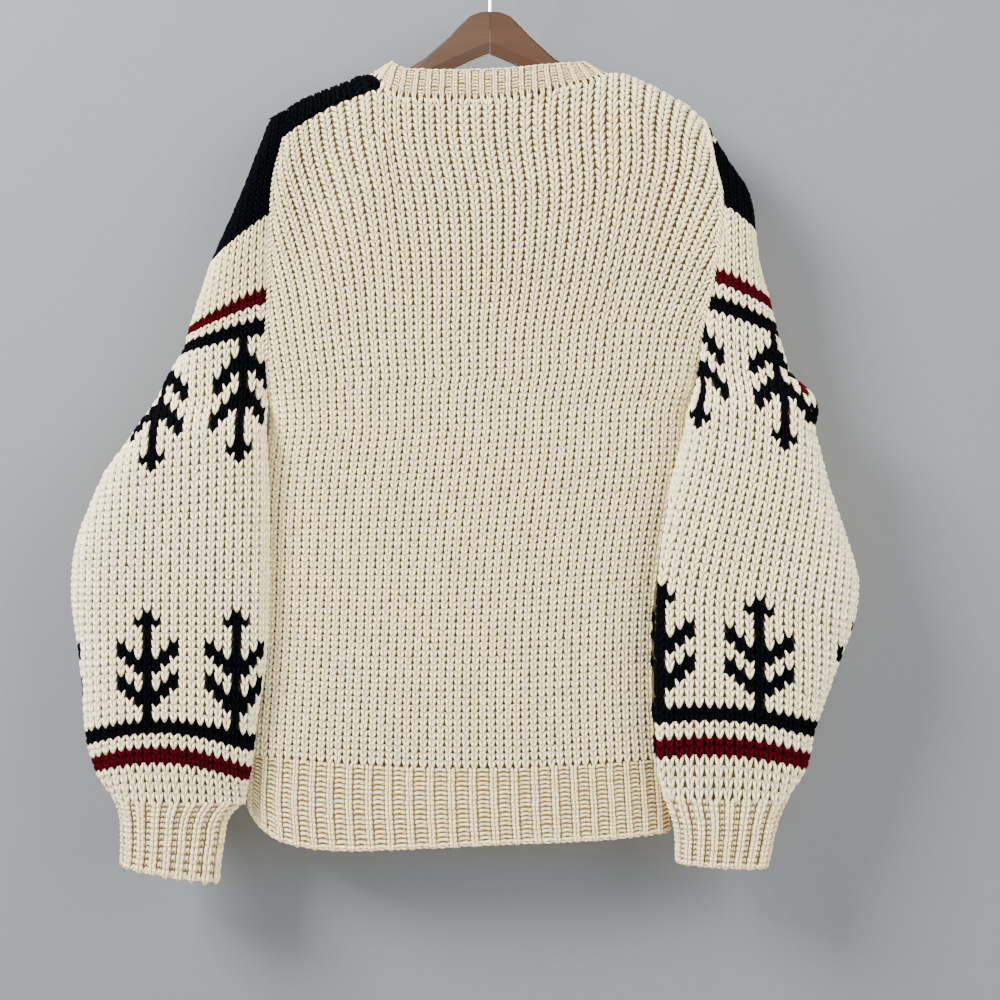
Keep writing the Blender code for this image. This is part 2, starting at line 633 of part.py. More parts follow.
def build_neckband(material):
    loop = neck_loop()
    lengths = [(loop[(i + 1) % len(loop)][0] - loop[i][0]).length for i in range(len(loop))]
    total = sum(lengths)
    # Each span between two columns of the panels gets its share of the ribs' columns, and at least two
    rows = []
    outer = [[], [], [], []]
    inner = [[], []]
    column = 0
    wanted = BAND_RIBS * 3
    done = 0.0
    for i, length in enumerate(lengths):
        end = round(wanted * (done + length) / total)
        count = max(end - column, 2)
        a, b = loop[i], loop[(i + 1) % len(loop)]
        for k in range(count):
            t = k / count
            seam = a[0].lerp(b[0], t)
            out = a[1].lerp(b[1], t).normalized()
            rise = a[2].lerp(b[2], t)
            height = -RIB_RAISE * 0.8 if (column + k) % 3 == 2 else RIB_RAISE * 0.8
            start = seam + a[3].lerp(b[3], t)
            for row, share, extra in zip(outer, (0.0, 0.25, 0.85, 1.0), (0.0, 1.0, 1.0, -1.6)):
                lift = BAND_PROUD * extra + (height if extra > 0 else 0)
                row.append(start + rise * share + out * lift)
            inner[0].append(start - out * (BAND_WALL - BAND_PROUD))
            inner[1].append(start + rise * 0.97 - out * (BAND_WALL - BAND_PROUD))
        column += count
        done += length
    return wall("neckband", outer, inner, True, material)


def ridge_height(side, distance):
    """Height of the shoulder's ridge at a distance from the middle."""
    ridge = sorted((side * c[4 if side < 0 else 1], apex(c)) for c in FRONT_COLUMNS if len(c) > 4 or c[1] * side > 106)
    near = max(k for k in range(len(ridge) - 1) if ridge[k][0] <= distance)
    (low, start), (high, end) = ridge[near : near + 2]
    return start + (end - start) * (distance - low) / (high - low)


def arm_sections(side):
    sections = list(ARM_SECTIONS)
    for distance in ARM_SEATS:
        top = ridge_height(side, distance) - WALL - 2 * SEAM
        sections.append((distance, top, top - ARM_HEIGHT, 6, 13))
    distance, drop, half = ARM_END
    sections.append((distance, top - drop, top - ARM_HEIGHT + drop / 2, half, 6))
    return sections


def build_arm(name, side, material):
    verts, faces = [], []
    sections = arm_sections(side)
    for distance, top, bottom, half, rounding in sections:
        outline = (
            (-half, top - rounding), (-0.72 * half, top - 0.42 * rounding), (0, top), (0.72 * half, top - 0.42 * rounding),
            (half, top - rounding), (half, bottom + CHAMFER), (0.4 * half, bottom), (-0.4 * half, bottom),
            (-half, bottom + CHAMFER),
        )  # fmt: skip
        for y, z in outline:
            verts.append((side * distance, y, z))
    count = 9
    for i in range(len(sections) - 1):
        for k in range(count):
            a, b = i * count + k, i * count + (k + 1) % count
            faces.append((a, b, b + count, a + count))
    faces.append(tuple(range(count))[::-1])
    faces.append(tuple(range((len(sections) - 1) * count, len(sections) * count)))
    arm = add_object(name, verts, faces, material)
    arm.modifiers.new("stem_hole", "BOOLEAN").object = stem_cutter()
    return arm


def stem_cutter():
    """The hole for the hook's stem, on the glued joint between the two arms."""
    if "stem_cutter" in bpy.data.objects:
        return bpy.data.objects["stem_cutter"]
    top = ARM_SECTIONS[0][1]
    bpy.ops.mesh.primitive_cylinder_add(
        vertices=16,
        radius=(WIRE_RADIUS + SEAM) * MM,
        depth=2 * STEM_DEPTH * MM,
        location=(0, 0, top * MM),
    )
    cutter = bpy.context.object
    cutter.name = "stem_cutter"
    cutter.hide_render = True
    cutter.display_type = "WIRE"
    return cutter


def hook_path():
    """The wire's middle line: a straight stem, a bend to the right and the round that hangs on a rail."""
    ring = HOOK_RADIUS + WIRE_RADIUS
    bottom = ARM_SECTIONS[0][1] - STEM_DEPTH + SEAM
    low = -HOOK_RADIUS - 34
    points = [Vector((0, 0, bottom)), Vector((0, 0, (bottom + low) / 2)), Vector((0, 0, low))]
    start = math.radians(-38)
    first = Vector((ring * math.cos(start), 0, -HOOK_RADIUS + ring * math.sin(start)))
    heading = Vector((-math.sin(start), 0, math.cos(start)))
    for i in range(1, 6):
        t = i / 6
        ends = points[2] * (1 + 2 * t) * (1 - t) ** 2 + first * t * t * (3 - 2 * t)
        points.append(ends + 30 * (Vector((0, 0, 1)) * t * (1 - t) ** 2 - heading * t * t * (1 - t)))
    for i in range(17):
        angle = start + math.radians(15) * i
        points.append(Vector((ring * math.cos(angle), 0, -HOOK_RADIUS + ring * math.sin(angle))))
    return points


def build_hook(material):
    curve = bpy.data.curves.new("hanger_hook", "CURVE")
    curve.dimensions = "3D"
    curve.bevel_depth = WIRE_RADIUS * MM
    curve.bevel_resolution = 2
    curve.use_fill_caps = True
    points = hook_path()
    spline = curve.splines.new("POLY")
    spline.points.add(len(points) - 1)
    for slot, point in zip(spline.points, points):
        slot.co = (*(point * MM), 1)
    curve.materials.append(material)
    hook = bpy.data.objects.new("hanger_hook", curve)
    bpy.context.collection.objects.link(hook)
    return hook


def new_material(name, colour, roughness, metallic):
    material = bpy.data.materials.new(name)
    material.use_nodes = True
    shader = material.node_tree.nodes["Principled BSDF"]
    shader.inputs["Base Color"].default_value = (*colour, 1)
    shader.inputs["Roughness"].default_value = roughness
    shader.inputs["Metallic"].default_value = metallic
    return material


def main():
    for obj in list(bpy.data.objects):
        bpy.data.objects.remove(obj)
    finish = {name: new_material(name, *values) for name, values in COLOURS.items()}
    build_panels(finish["cream_wool"])
    build_hems(finish["cream_rib"])
    build_sleeve("sleeve_left", -1, LEFT_RINGS, finish["cream_wool"])
    build_sleeve("sleeve_right", 1, RIGHT_RINGS, finish["cream_wool"])
    build_cuff("cuff_left", -1, LEFT_CUFF, finish["cream_rib"])
    build_cuff("cuff_right", 1, RIGHT_CUFF, finish["cream_rib"])
    build_neckband(finish["cream_rib"])
    build_arm("hanger_arm_left", -1, finish["pale_beech"])
    build_arm("hanger_arm_right", 1, finish["pale_beech"])
    build_hook(finish["steel_wire"])


main()
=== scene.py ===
"""Chunky hand-knitted pullover, seen from the back on its wooden hanger: the cloth, its stitches, and the stage.

Surfaces are worked out in millimetres until MM turns them into metres. The origin is the inner top of the hook.
"""

import math

import bpy
import numpy as np
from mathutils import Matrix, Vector


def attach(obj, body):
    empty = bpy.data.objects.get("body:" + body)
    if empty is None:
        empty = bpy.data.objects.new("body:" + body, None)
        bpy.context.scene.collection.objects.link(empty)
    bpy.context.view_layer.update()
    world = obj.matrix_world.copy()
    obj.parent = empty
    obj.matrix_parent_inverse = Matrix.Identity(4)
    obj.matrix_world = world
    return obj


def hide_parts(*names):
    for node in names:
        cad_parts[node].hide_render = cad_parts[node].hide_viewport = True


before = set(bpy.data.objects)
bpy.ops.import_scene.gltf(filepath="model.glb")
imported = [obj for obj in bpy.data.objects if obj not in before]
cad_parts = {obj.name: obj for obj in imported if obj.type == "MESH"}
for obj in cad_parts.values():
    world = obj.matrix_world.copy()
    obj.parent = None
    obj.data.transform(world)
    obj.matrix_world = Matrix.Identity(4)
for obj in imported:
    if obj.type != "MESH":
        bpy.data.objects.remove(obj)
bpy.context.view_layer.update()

bl_info = {
    "name": "Knitted pullover",
    "version": (1, 0, 0),
    "blender": (4, 5, 0),
    "location": "3D View > Sidebar > Pullover",
    "description": "Builds a hand-knitted pullover on a hanger, stitch by stitch",
    "category": "Add Mesh",
}

MM = 0.001

# The garment's form, in millimetres
WALL = 4.5
ROUNDNESS = 2.4  # exponent of its sections: 2 is an ellipse
BODY_DEPTH = 24.0
SHOULDER_DROP = 40.0
ARMHOLE_DEPTH = 16.0
ARMHOLE_ROUND = 70.0
SEAM = 0.3
DRAPE_DROP = 35.0
SWING = {-1: 21.0, 1: 25.0}  # how far the left and the right sleeve hang in front of the body's sides
HEM_Z = -790  # where the hem's width is read
SECTION_Z = -500  # where the body's section is read
REACH_DROP, SLEEVE_REACH = 30.0, 12.0  # this far below the underarm a sleeve ends at most this far inside the side

# The panels' rows: how they lie on the way to the shoulder's ridge and past it
TURN_START = 0.66
STRAIGHT_SHARE = 0.83
LEAD_COLUMNS, LEAD_SHARE = 8, 0.965
RIDGE_SHARE = (1 - math.cos(math.pi * 9 / 12)) / 2  # the front's ridge: the ninth of twelve rows, eased at both ends

# The knitting
BODY_RIBS, CUFF_RIBS, BAND_RIBS = 23, 17, 46
HEM_ROWS, CUFF_ROWS, BAND_ROWS = 17, 12, 8
BODY_WALES, ROWS_BELOW, ROWS_ABOVE = 51, 56, 43
FINE = 4  # places worked out for each wale
LEAST_STITCH = 0.45  # a stitch that the armhole leaves narrower than this share is left out
FOLD_POINT = 60  # the point of a sleeve's line, counted from 0, at which it folds over its outer edge
EDGE_STITCHES = 44
LINING_ROW, LINING_HALF, LINING_DEPTH = ROWS_BELOW + 24, 105.0, 4.4
KNIT_LIFT, PURL_LIFT = 0.8, -0.7
HEM_KNIT, CUFF_KNIT, BAND_KNIT = 0.43, 0.7, 0.46  # share of a rib's width that its knit column takes
BELOW_POINTS, ABOVE_POINTS = 40, 80  # points worked out along a column, below the underarm and above
EDGE_POINTS = 120  # points worked out along the edge of a hem or a cuff
WIDEST_STITCH = 9.0
GAUGE_LIMITS = (0.7, 1.15)
SIZE_SPREAD, PLACE_SPREAD, SHADE_SPREAD = 0.05, 0.16, 0.035

# Tints, as factors of the yarn's colour
END_PAINTED_SHADE, CROWN_PAINTED_HIGHLIGHT, BASE_PAINTED_SHADE = 0.74, 1.05, 0.50  # painted shade at a stitch's ends and its foot, painted highlight on its top
PURL_TINT, EDGE_TINT, RIDGE_TINT, LINING_TINT = 0.92, 1.04, 1.08, 0.95
# painted shadow in the neckband's holes
HOLE_SHADOW_TINT = (0.07, 0.05, 0.03)
# painted shade: the cloth under the stitches, darkened where it shows between them
SHADE_BETWEEN_STITCHES = (0.085, 0.072, 0.05)
RIB_GAP_SHADE_LIFT = 3.0  # how much lighter the painted shade is between the ribs
PATCH_SIZE, PATCH_TINT = 160, (0.015, 0.0, -0.035)
BLEED, PINK = {0: 0.07, 1: 0.16, 2: 0.07}, (0.75, 0.35, 0.33)  # by rows from the red
DARK_YARN = 0.02

# The stage, in metres
STAGE_SIZE = 6.0
SKY, SKY_STRENGTH = (0.85, 0.88, 0.92, 1), 0.16
CAMERA_AT, LENS, SENSOR = (0.009, -1.3, -0.52), 52.0, 36.0
# Lamps: (name, size, strength, place, aim)
LAMPS = (
    ("key", 0.9, 38.0, (-1.5, -1.25, 0.75), (0, 0, -0.45)),
    ("fill", 1.6, 15.0, (1.6, -1.5, 0.0), (0, 0, -0.5)),
    ("front", 1.8, 5.0, (0.0, -2.4, -0.9), (0, 0, -0.5)),
    ("far_side", 1.8, 30.0, (0.6, 2.2, 0.2), (0, 0, -0.5)),
)

# Height and width of the armhole's edge, from the shoulder's end to the underarm: (z, x)
LEFT_ARMHOLE = (
    (-168, -183), (-198, -184), (-230, -192), (-263, -195.5), (-341, -198.5), (-382, -200.3), (-426, -199.8),
)  # fmt: skip
RIGHT_ARMHOLE = (
    (-184, 193.5), (-218, 200), (-251, 207.5), (-291, 205), (-314, 201.5), (-338, 197), (-366, 190.5), (-393, 187.6),
    (-405, 187),
)  # fmt: skip

# The body's sides below the underarm: (z, x)
LEFT_SIDE = (
    (-426, -199.8), (-436, -198.2), (-446, -197.6), (-457, -197.6), (-471, -200), (-498, -203.5), (-538, -206),
    (-591, -207), (-646, -209), (-700, -212.4), (-754, -216), (-790, -217.8), (-830, -215),
)  # fmt: skip
RIGHT_SIDE = (
    (-405, 187), (-424, 182), (-439, 177.5), (-460, 176), (-486, 174.6), (-520, 169.2), (-556, 163), (-600, 157.5),
    (-655, 154.8), (-711, 155.7), (-754, 158.4), (-790, 161), (-830, 163),
)  # fmt: skip

# Columns of the back, from its left side to its right: (x at the underarm, x at the top, z at the top, how far the
# cloth there has turned over the shoulder, in degrees). Rows 6 and 15, counted from 0, are the ends of the neck.
BACK_COLUMNS = (
    (-199.8, -184, -198, 14), (-196, -181.5, -196, 15), (-187, -175, -191, 18), (-172, -161, -181.5, 24),
    (-152, -142, -171, 31), (-130, -118, -161.5, 34), (-105, -93, -153, 37),
    (-85, -79.5, -162, 20), (-62, -58, -163.6, 14), (-36, -34, -164.3, 10), (-10, -9, -164.3, 8), (17, 17, -162.8, 9),
    (44, 43, -158.7, 15), (69, 67, -153, 28), (92, 88, -147, 52), (110, 106.5, -137, 90),
    (130, 124, -138.4, 90), (150, 146, -148.5, 90), (168, 167, -159.8, 90), (179, 182, -169, 90),
    (184.5, 190, -178, 90), (187, 193.5, -184, 90),
)  # fmt: skip
BACK_NECK = (6, 15)

# Columns of the front, in the same way. On the left it turns past the ridge (90 degrees) and down to the back, and
# there the fifth number is x at the ridge. Rows 6 and 21 are the ends of the neck.
FRONT_COLUMNS = (
    (-199.8, -184, -198, 166, -183), (-196, -181.5, -196, 165, -181), (-187, -175, -191, 162, -176),
    (-172, -161, -181.5, 156, -165), (-152, -142, -171, 149, -149), (-132, -118, -161.5, 146, -128),
    (-120, -93, -153, 143, -115), (-114, -101, -142, 118, -111), (-108, -107, -137.5, 92, -107.5),
    (-100, -106, -142, 66), (-91, -103, -158, 40),
    (-80, -92, -190, 18), (-63, -70, -217, 8), (-39, -42, -233, 5), (-13, -14, -239, 5), (14, 14, -239, 5),
    (40, 42, -233, 5), (63, 70, -217, 8), (82, 92, -190, 18), (95, 102.5, -160, 38), (103, 105.8, -142, 66),
    (111, 106.5, -137, 90), (130, 124, -138.4, 90), (150, 146, -148.5, 90), (168, 167, -159.8, 90),
    (179, 182, -169, 90), (184.5, 190, -178, 90), (187, 193.5, -184, 90),
)  # fmt: skip
FRONT_NECK = (6, 21)
FRONT_TURNED = 8  # the last row that turns past the ridge

# How far the neckband's edge lies from its seam, at each column of the neck: (across, up)
BACK_BAND = (
    (7, 21), (4, 24), (2, 24.6), (0, 24.7), (0, 24.8), (0, 24.8), (-1, 23.2), (-5, 20.5), (-11, 17), (-20, 11.5),
)  # fmt: skip
FRONT_BAND = (
    (7, 21), (14, 14.5), (18, 9), (19.5, 12), (21, 13), (21, 15), (16, 19), (9, 23), (3, 24.5), (-3, 24.5),
    (-9, 23), (-16, 19), (-21, 15), (-21, 13), (-22, 13), (-20, 11.5),
)  # fmt: skip

# Outer edges of the sleeves, from the shoulder's end to the cuff: (z, x)
LEFT_OUTER = (
    (-168, -183), (-176, -195), (-194, -202.4), (-217, -211.4), (-241, -220.3), (-274, -234.7), (-308, -250),
    (-338, -260), (-368, -269.6), (-387, -275), (-405, -287), (-429, -298), (-464, -317), (-495, -339), (-525, -353),
    (-557, -364.7), (-591, -369), (-618, -368), (-641, -364.7), (-681, -360), (-727, -356.7), (-756, -349.6),
    (-769, -343.4), (-783, -332),
)  # fmt: skip
RIGHT_OUTER = (
    (-184, 193.5), (-198, 202), (-220, 215), (-239, 228.5), (-256, 234.8), (-276, 237.4), (-308, 241), (-343, 251),
    (-368, 257), (-395, 265.6), (-405, 268), (-425, 285), (-442, 289), (-456, 286), (-477, 290.8), (-510, 299.7),
    (-544, 311), (-581, 322.7), (-593, 324.5), (-617, 322.7), (-639, 316.5), (-665, 306.7), (-692, 297), (-711, 290),
    (-726, 285.5), (-756, 279.3), (-765, 274), (-782, 262.6),
)  # fmt: skip

# Inner edges of the sleeves below the underarm: (z, x)
LEFT_INNER = (
    (-426, -199.8), (-436, -199.4), (-446, -199), (-458, -198.6), (-471, -197.6), (-498, -196.3), (-522, -195.5),
    (-590, -195.5), (-612, -196.3), (-660, -198), (-727, -208), (-756, -211.5), (-785, -217),
)  # fmt: skip
RIGHT_INNER = (
    (-405, 187), (-418, 184.6), (-427, 181), (-440, 175), (-461, 172), (-486, 165), (-514, 158), (-542, 151.7),
    (-573, 146.4), (-598, 142.8), (-635, 139.3), (-660, 139.3), (-708, 140.2), (-741, 142), (-750, 144.6),
    (-779, 153.5),
)  # fmt: skip

# Half depth of a sleeve by height: (z, half depth)
SLEEVE_DEPTH = ((-168, 17), (-230, 20), (-300, 24), (-420, 26), (-560, 29), (-680, 27), (-750, 22), (-785, 16))

# Rings of the cuffs: (outer x, outer z, inner x, inner z, half depth)
LEFT_CUFF = (
    (-332, -783, -217, -785, 16), (-326.5, -800, -231.5, -801, 15), (-325.5, -822, -236.5, -824, 14),
    (-326.5, -842, -240.5, -857, 13.5),
)  # fmt: skip
RIGHT_CUFF = (
    (262.6, -782, 153.5, -779, 16), (254, -801, 162, -802, 15), (249, -822, 164.3, -821, 14),
    (244.5, -843, 164.3, -838.5, 13.5),
)  # fmt: skip

# The hem's ribbing: (x, z at its top, z at its bottom)
HEM_EDGES = (
    (-217, -747, -796), (-207, -747.5, -810), (-191, -748.5, -822), (-146, -751.5, -829.5), (-71, -755.3, -827.5),
    (9, -756.3, -823.7), (89, -753.6, -821), (161, -750, -816.5),
)  # fmt: skip

# Folds of the back and the front: (across and up, each 0 to 1, across and up again for the other end,
# half width, height), where a trough has a negative height
BACK_FOLDS = (
    (0.035, 0.97, 0.02, 0.72, 0.03, 4.0),
    (0.10, 0.86, 0.075, 0.38, 0.045, -9.0),
    (0.93, 0.86, 0.905, 0.30, 0.045, -9.0),
    (0.975, 0.80, 0.965, 0.42, 0.03, 4.0),
    (0.46, -0.45, 0.455, -0.98, 0.03, 1.6),
    (0.86, -0.40, 0.88, -0.98, 0.035, 1.8),
)
FRONT_FOLDS = (
    (0.10, 0.70, 0.08, 0.20, 0.045, -4.0),
    (0.90, 0.70, 0.92, 0.20, 0.045, -4.0),
    (0.35, -0.50, 0.34, -0.98, 0.03, 1.6),
    (0.70, -0.40, 0.71, -0.98, 0.035, 1.8),
)

# Where the sleeve's rows of knitting run: (row, z at the seam or the inner edge, z at the outer edge, how far the
# row's middle is arched up, x of the wale with a tree's trunk, width of a stitch). Row 0 is the first cream row.
LEFT_KNIT = (
    (-20, -170, -169, 0, -205, 7.7), (0, -265, -307, 0, -212, 7.7), (9, -330, -365, 0, -216, 7.7),
    (15, -371.5, -390, 0, -217, 7.7), (29, -483, -499, 0, -217, 7.7), (48, -616, -616, 1, -219.5, 7.7),
    (55, -666, -668, 5, -220, 7.7), (62, -726, -723, 14, -220.5, 7.7), (67, -761, -753, 16, -221, 7.7),
    (72, -787.5, -785.5, 2, -222, 7.4),
)  # fmt: skip
RIGHT_KNIT = (
    (-20, -186, -185, 0, 176, 7.8), (0, -257, -280, 0, 176, 7.8), (9, -313.5, -339, 0, 177, 7.8),
    (15, -350, -374, 0, 177, 7.8), (29, -454, -485, 0, 177, 7.9), (48, -592, -620, 2, 147.5, 8.6),
    (55, -643, -668, 4, 146.8, 8.7), (62, -701, -714, 9, 146.8, 8.7), (67, -737, -749, 10, 147, 8.7),
    (72, -781.5, -784.5, 2, 150, 8.2),
)  # fmt: skip

# Above this the back's cream cloth hides the right sleeve's black cap
CAP_TOP, CAP_DEPTH = -200.0, 6.0
# The right sleeve's fold, where the stripes of its front side show past its edge
FOLD_X, FOLD_TOP, FOLD_RED, FOLD_BLACK, FOLD_BOTTOM = 270.0, -407.0, -424.0, -433.0, -453.0
FOLD_SLOPE = 0.30

# The tree motif: (first and last row counted from the black stripe, distance from the trunk's wale)
TREE = ((1, 14, 0), (3, 4, 1), (7, 8, 1), (13, 13, 1), (4, 5, 2), (8, 9, 2), (5, 6, 3), (9, 10, 3))
REPEAT = 10
UPPER_BLACK = 13
LOWER_BLACK = 62
TRIM_ROW = 11
STRIPES = ((9, 10, "red"), (13, 14, "black"), (62, 63, "black"), (66, 67, "red"))

# The lower trees past the two on the back stand further round the outer edge: (row, wale, by how many wales)
FAR_TREES = (40, 15, 2)
# How far the wales lean outwards at the top of the back and the front: (share across, mm)
BACK_FAN = ((0.0, -62), (0.2, -54), (0.35, -30), (0.5, -7), (0.65, 22), (0.78, 48), (0.9, 70), (1.0, 98))
FRONT_FAN = ((0.0, -20), (0.3, -10), (0.7, 10), (1.0, 20))

YOKE_BOTTOM = -265.0  # the front's black yoke, on the hidden side, ends level with the sleeves' caps

# A leg of a knit stitch as rings along it: (across, up, half width, height of its base, height of its crown)
LEG = ((0.44, -0.38, 0.06, -0.20, -0.06), (0.365, 0.08, 0.175, -0.17, 0.20), (0.245, 0.60, 0.195, -0.17, 0.22),
       (0.085, 1.02, 0.09, -0.19, -0.02))  # fmt: skip
# The same where ribbing pulls the legs upright
RIB_LEG = ((0.42, -0.40, 0.08, -0.17, -0.02), (0.33, 0.08, 0.20, -0.17, 0.21), (0.265, 0.58, 0.215, -0.17, 0.23),
           (0.24, 1.08, 0.09, -0.17, -0.02))  # fmt: skip
# A purl bump, which arches over its cell
BUMP = ((0.02, 0.02, 0.16, -0.16, -0.02), (0.27, 0.52, 0.36, -0.14, 0.15), (0.73, 0.52, 0.36, -0.14, 0.15),
        (0.98, 0.02, 0.16, -0.16, -0.02))  # fmt: skip
# A stitch at a seam that has turned to lie across the edge
TURNED = ((-0.06, 0.35, 0.14, -0.12, 0.00), (0.30, 0.55, 0.42, -0.12, 0.20), (0.78, 0.62, 0.40, -0.12, 0.18),
          (1.12, 0.45, 0.16, -0.16, -0.05))  # fmt: skip
TEMPLATES = {
    "knit": ((LEG, False), (LEG, True)),
    "rib": ((RIB_LEG, False), (RIB_LEG, True)),
    "purl": ((BUMP, True),),
    "turned": ((TURNED, True),),
}  # each tube of a stitch, and whether it is mirrored
PROFILE = ((-1.0, 0.0), (-0.55, 0.86), (0.55, 0.86), (1.0, 0.0))  # (share of the half width, share of the height)

# The tables of the two sides, -1 for the left and 1 for the right
ARMHOLE = {-1: LEFT_ARMHOLE, 1: RIGHT_ARMHOLE}
SIDE = {-1: LEFT_SIDE, 1: RIGHT_SIDE}
OUTER = {-1: LEFT_OUTER, 1: RIGHT_OUTER}
INNER = {-1: LEFT_INNER, 1: RIGHT_INNER}
CUFF = {-1: LEFT_CUFF, 1: RIGHT_CUFF}
CUFF_KNOTS = (0.0, 0.3, 0.66, 1.0)
KNIT_ROWS = {-1: LEFT_KNIT, 1: RIGHT_KNIT}


def smooth(table, at, column=1):
    """A column of a table at a place along its first column, on a smooth curve through the rows."""
    rows = sorted(table)
    xs = [row[0] for row in rows]
    ys = [row[column] for row in rows]
    if at <= xs[0]:
        return ys[0]
    if at >= xs[-1]:
        return ys[-1]
    i = max(k for k in range(len(xs) - 1) if xs[k] <= at)

    def slope(k):
        low, high = max(k - 1, 0), min(k + 1, len(xs) - 1)
        return (ys[high] - ys[low]) / (xs[high] - xs[low])

    width = xs[i + 1] - xs[i]
    t = (at - xs[i]) / width
    return (
        ys[i] * (1 + 2 * t) * (1 - t) ** 2
        + ys[i + 1] * t * t * (3 - 2 * t)
        + width * (slope(i) * t * (1 - t) ** 2 - slope(i + 1) * t * t * (1 - t))
    )


def ease(t):
    """0 to 1 with level ends."""
    t = min(max(t, 0.0), 1.0)
    return t * t * (3 - 2 * t)


def power(value, exponent):
    return math.copysign(abs(value) ** exponent, value)


def bulge(s):
    """Height of a tube's section at a place across it, from -1 to 1."""
    return max(1 - abs(s) ** ROUNDNESS, 0.0) ** (1 / ROUNDNESS)


def apex(column, inset):
    """Height of the ridge that a column of cloth turns over."""
    return column[2] + SHOULDER_DROP * (1 - math.sin(math.radians(column[3]))) - inset


def armhole_x(side, z):
    return smooth(ARMHOLE[side], z)


def underarm(side):
    """Height of a sleeve's underarm."""
    return ARMHOLE[side][-1][0]


def side_x(side, z):
    return smooth(SIDE[side], z)


def armhole_half(side, z, inset=0.0):
    """Half the armhole's opening at a height, before the shoulder's rounding."""
    rise = min(max((z - underarm(side) - inset) / ARMHOLE_ROUND, 0.0), 1.0)
    return (ARMHOLE_DEPTH - inset) * math.sqrt(1 - (1 - rise) ** 2)


def hem_edge(across, column):
    """Height of the ribbing's top or bottom edge at a share of the way across the body."""
    left, right = side_x(-1, HEM_Z), side_x(1, HEM_Z)
    return smooth(HEM_EDGES, left + (right - left) * across, column)


def fold_height(folds, across, up):
    total = 0.0
    for a0, u0, a1, u1, half_width, height in folds:
        run = Vector((a1 - a0, (u1 - u0) * 0.5))
        here = Vector((across - a0, (up - u0) * 0.5))
        along = min(max(here.dot(run) / run.length_squared, 0.0), 1.0)
        away = (here - run * along).length / half_width
        total += height * math.exp(-away * away) * math.sin(math.pi * min(max(0.08 + 0.84 * along, 0), 1)) ** 0.5
    return total


class Panel:
    """The front or the back as a surface over its columns and its height.

    Height is -1 at the ribbing's top edge, 0 at the underarm and 1 at the shoulder and the neck. An inset is a
    distance into the wall.
    """

    def __init__(self, columns, facing, folds, anchored=None):
        self.columns = columns
        self.facing = facing
        self.folds = folds
        self.anchored = anchored  # share of the height at the shoulder's ridge, where the cloth runs on past it

    def across(self, j):
        first, last = self.columns[0][0], self.columns[-1][0]
        return (self.columns[j][0] - first) / (last - first)

    def low(self, across):
        """Height of the line from one underarm to the other."""
        return underarm(-1) + (underarm(1) - underarm(-1)) * across

    def early(self, share):
        """Share of the way to the ridge, in rows that lie closer together where the cloth rounds over."""
        rise = share / self.anchored
        rounded = min(max((rise - TURN_START) / (1 - TURN_START), 0.0), 1.0)
        return STRAIGHT_SHARE * min(rise / TURN_START, 1.0) + (1 - STRAIGHT_SHARE) * rounded

    def beyond(self, share):
        """Share of the way from the ridge to the edge on its other side."""
        return max((share - self.anchored) / (1 - self.anchored), 0.0)

    def height_on(self, j, share, inset):
        """Height and turn at a share of the column's length above the underarm."""
        top = apex(self.columns[j], inset)
        drop = SHOULDER_DROP - inset
        low = self.low(self.across(j)) + inset * abs(2 * self.across(j) - 1) ** 24
        turn_end = math.radians(self.columns[j][3]) - (SEAM / 2) / (BODY_DEPTH - inset)
        straight = top - drop - low
        radius = (BODY_DEPTH + drop) / 2
        if self.anchored and turn_end > math.pi / 2:
            length = (straight + radius * math.pi / 2) * self.early(share)
            length += radius * (turn_end - math.pi / 2) * self.beyond(share)
        else:
            lead = max(1 - (j - FRONT_TURNED) / LEAD_COLUMNS, 0.0) if self.anchored else 0.0
            ahead = LEAD_SHARE * self.early(share) + (1 - LEAD_SHARE) * self.beyond(share) if lead else 0.0
            length = (straight + radius * turn_end) * (share + (ahead - share) * lead)
        if length <= straight:
            return low + length, 0.0
        turn = min((length - straight) / radius, turn_end)
        return top - drop + drop * math.sin(turn), turn

    def point(self, j, share, inset=0.0):
        """A point above the underarm."""
        last = len(self.columns) - 1
        z, turn = self.height_on(j, share, inset)
        left_z, right_z = self.height_on(0, share, inset)[0], self.height_on(last, share, inset)[0]
        left, right = armhole_x(-1, left_z), armhole_x(1, right_z)
        across = self.across(j)
        c = 2 * across - 1
        x = (left + right) / 2 + c * (right - left) / 2
        top_left, top_right = self.columns[0][1], self.columns[-1][1]
        plain = top_left + (top_right - top_left) * across
        column = self.columns[j]
        reach = (min(share / TURN_START, 1.0) if self.anchored else share) ** 1.5
        held = min(j, last - j, 4) / 4 if self.anchored else 0.0
        x += (column[4 if len(column) > 4 else 1] - plain + (plain - x) * held) * reach
        if len(column) > 4:
            x += (column[1] - column[4]) * self.beyond(share)
        edge_half = armhole_half(-1, left_z, inset) if c < 0 else armhole_half(1, right_z, inset)
        depth = BODY_DEPTH - inset
        blend = bulge(c)
        y = (depth**ROUNDNESS * blend**ROUNDNESS + edge_half**ROUNDNESS * (1 - blend**ROUNDNESS)) ** (1 / ROUNDNESS)
        y += fold_height(self.folds, across, share) * blend
        return Vector((x, self.facing * y * math.cos(turn), z))

    def point_below(self, across, down, top, bottom, raised=0.0):
        """A point below the underarm: down is 0 at the top's height and 1 at the bottom's."""
        c = 2 * across - 1
        z = top + (bottom - top) * down
        left, right = side_x(-1, z), side_x(1, z)
        y = BODY_DEPTH * bulge(c) + fold_height(self.folds, across, -down) * bulge(c) ** 2
        point = Vector(((left + right) / 2 + c * (right - left) / 2, self.facing * y, z))
        if raised:
            out_x = power(c, ROUNDNESS - 1) * BODY_DEPTH / (right - left) * 2
            out_y = self.facing * max(bulge(c), 0.15) ** (ROUNDNESS - 1)
            point += Vector((out_x, out_y, 0)).normalized() * raised
        return point


BACK = Panel(BACK_COLUMNS, -1, BACK_FOLDS)
FRONT = Panel(FRONT_COLUMNS, 1, FRONT_FOLDS, RIDGE_SHARE)


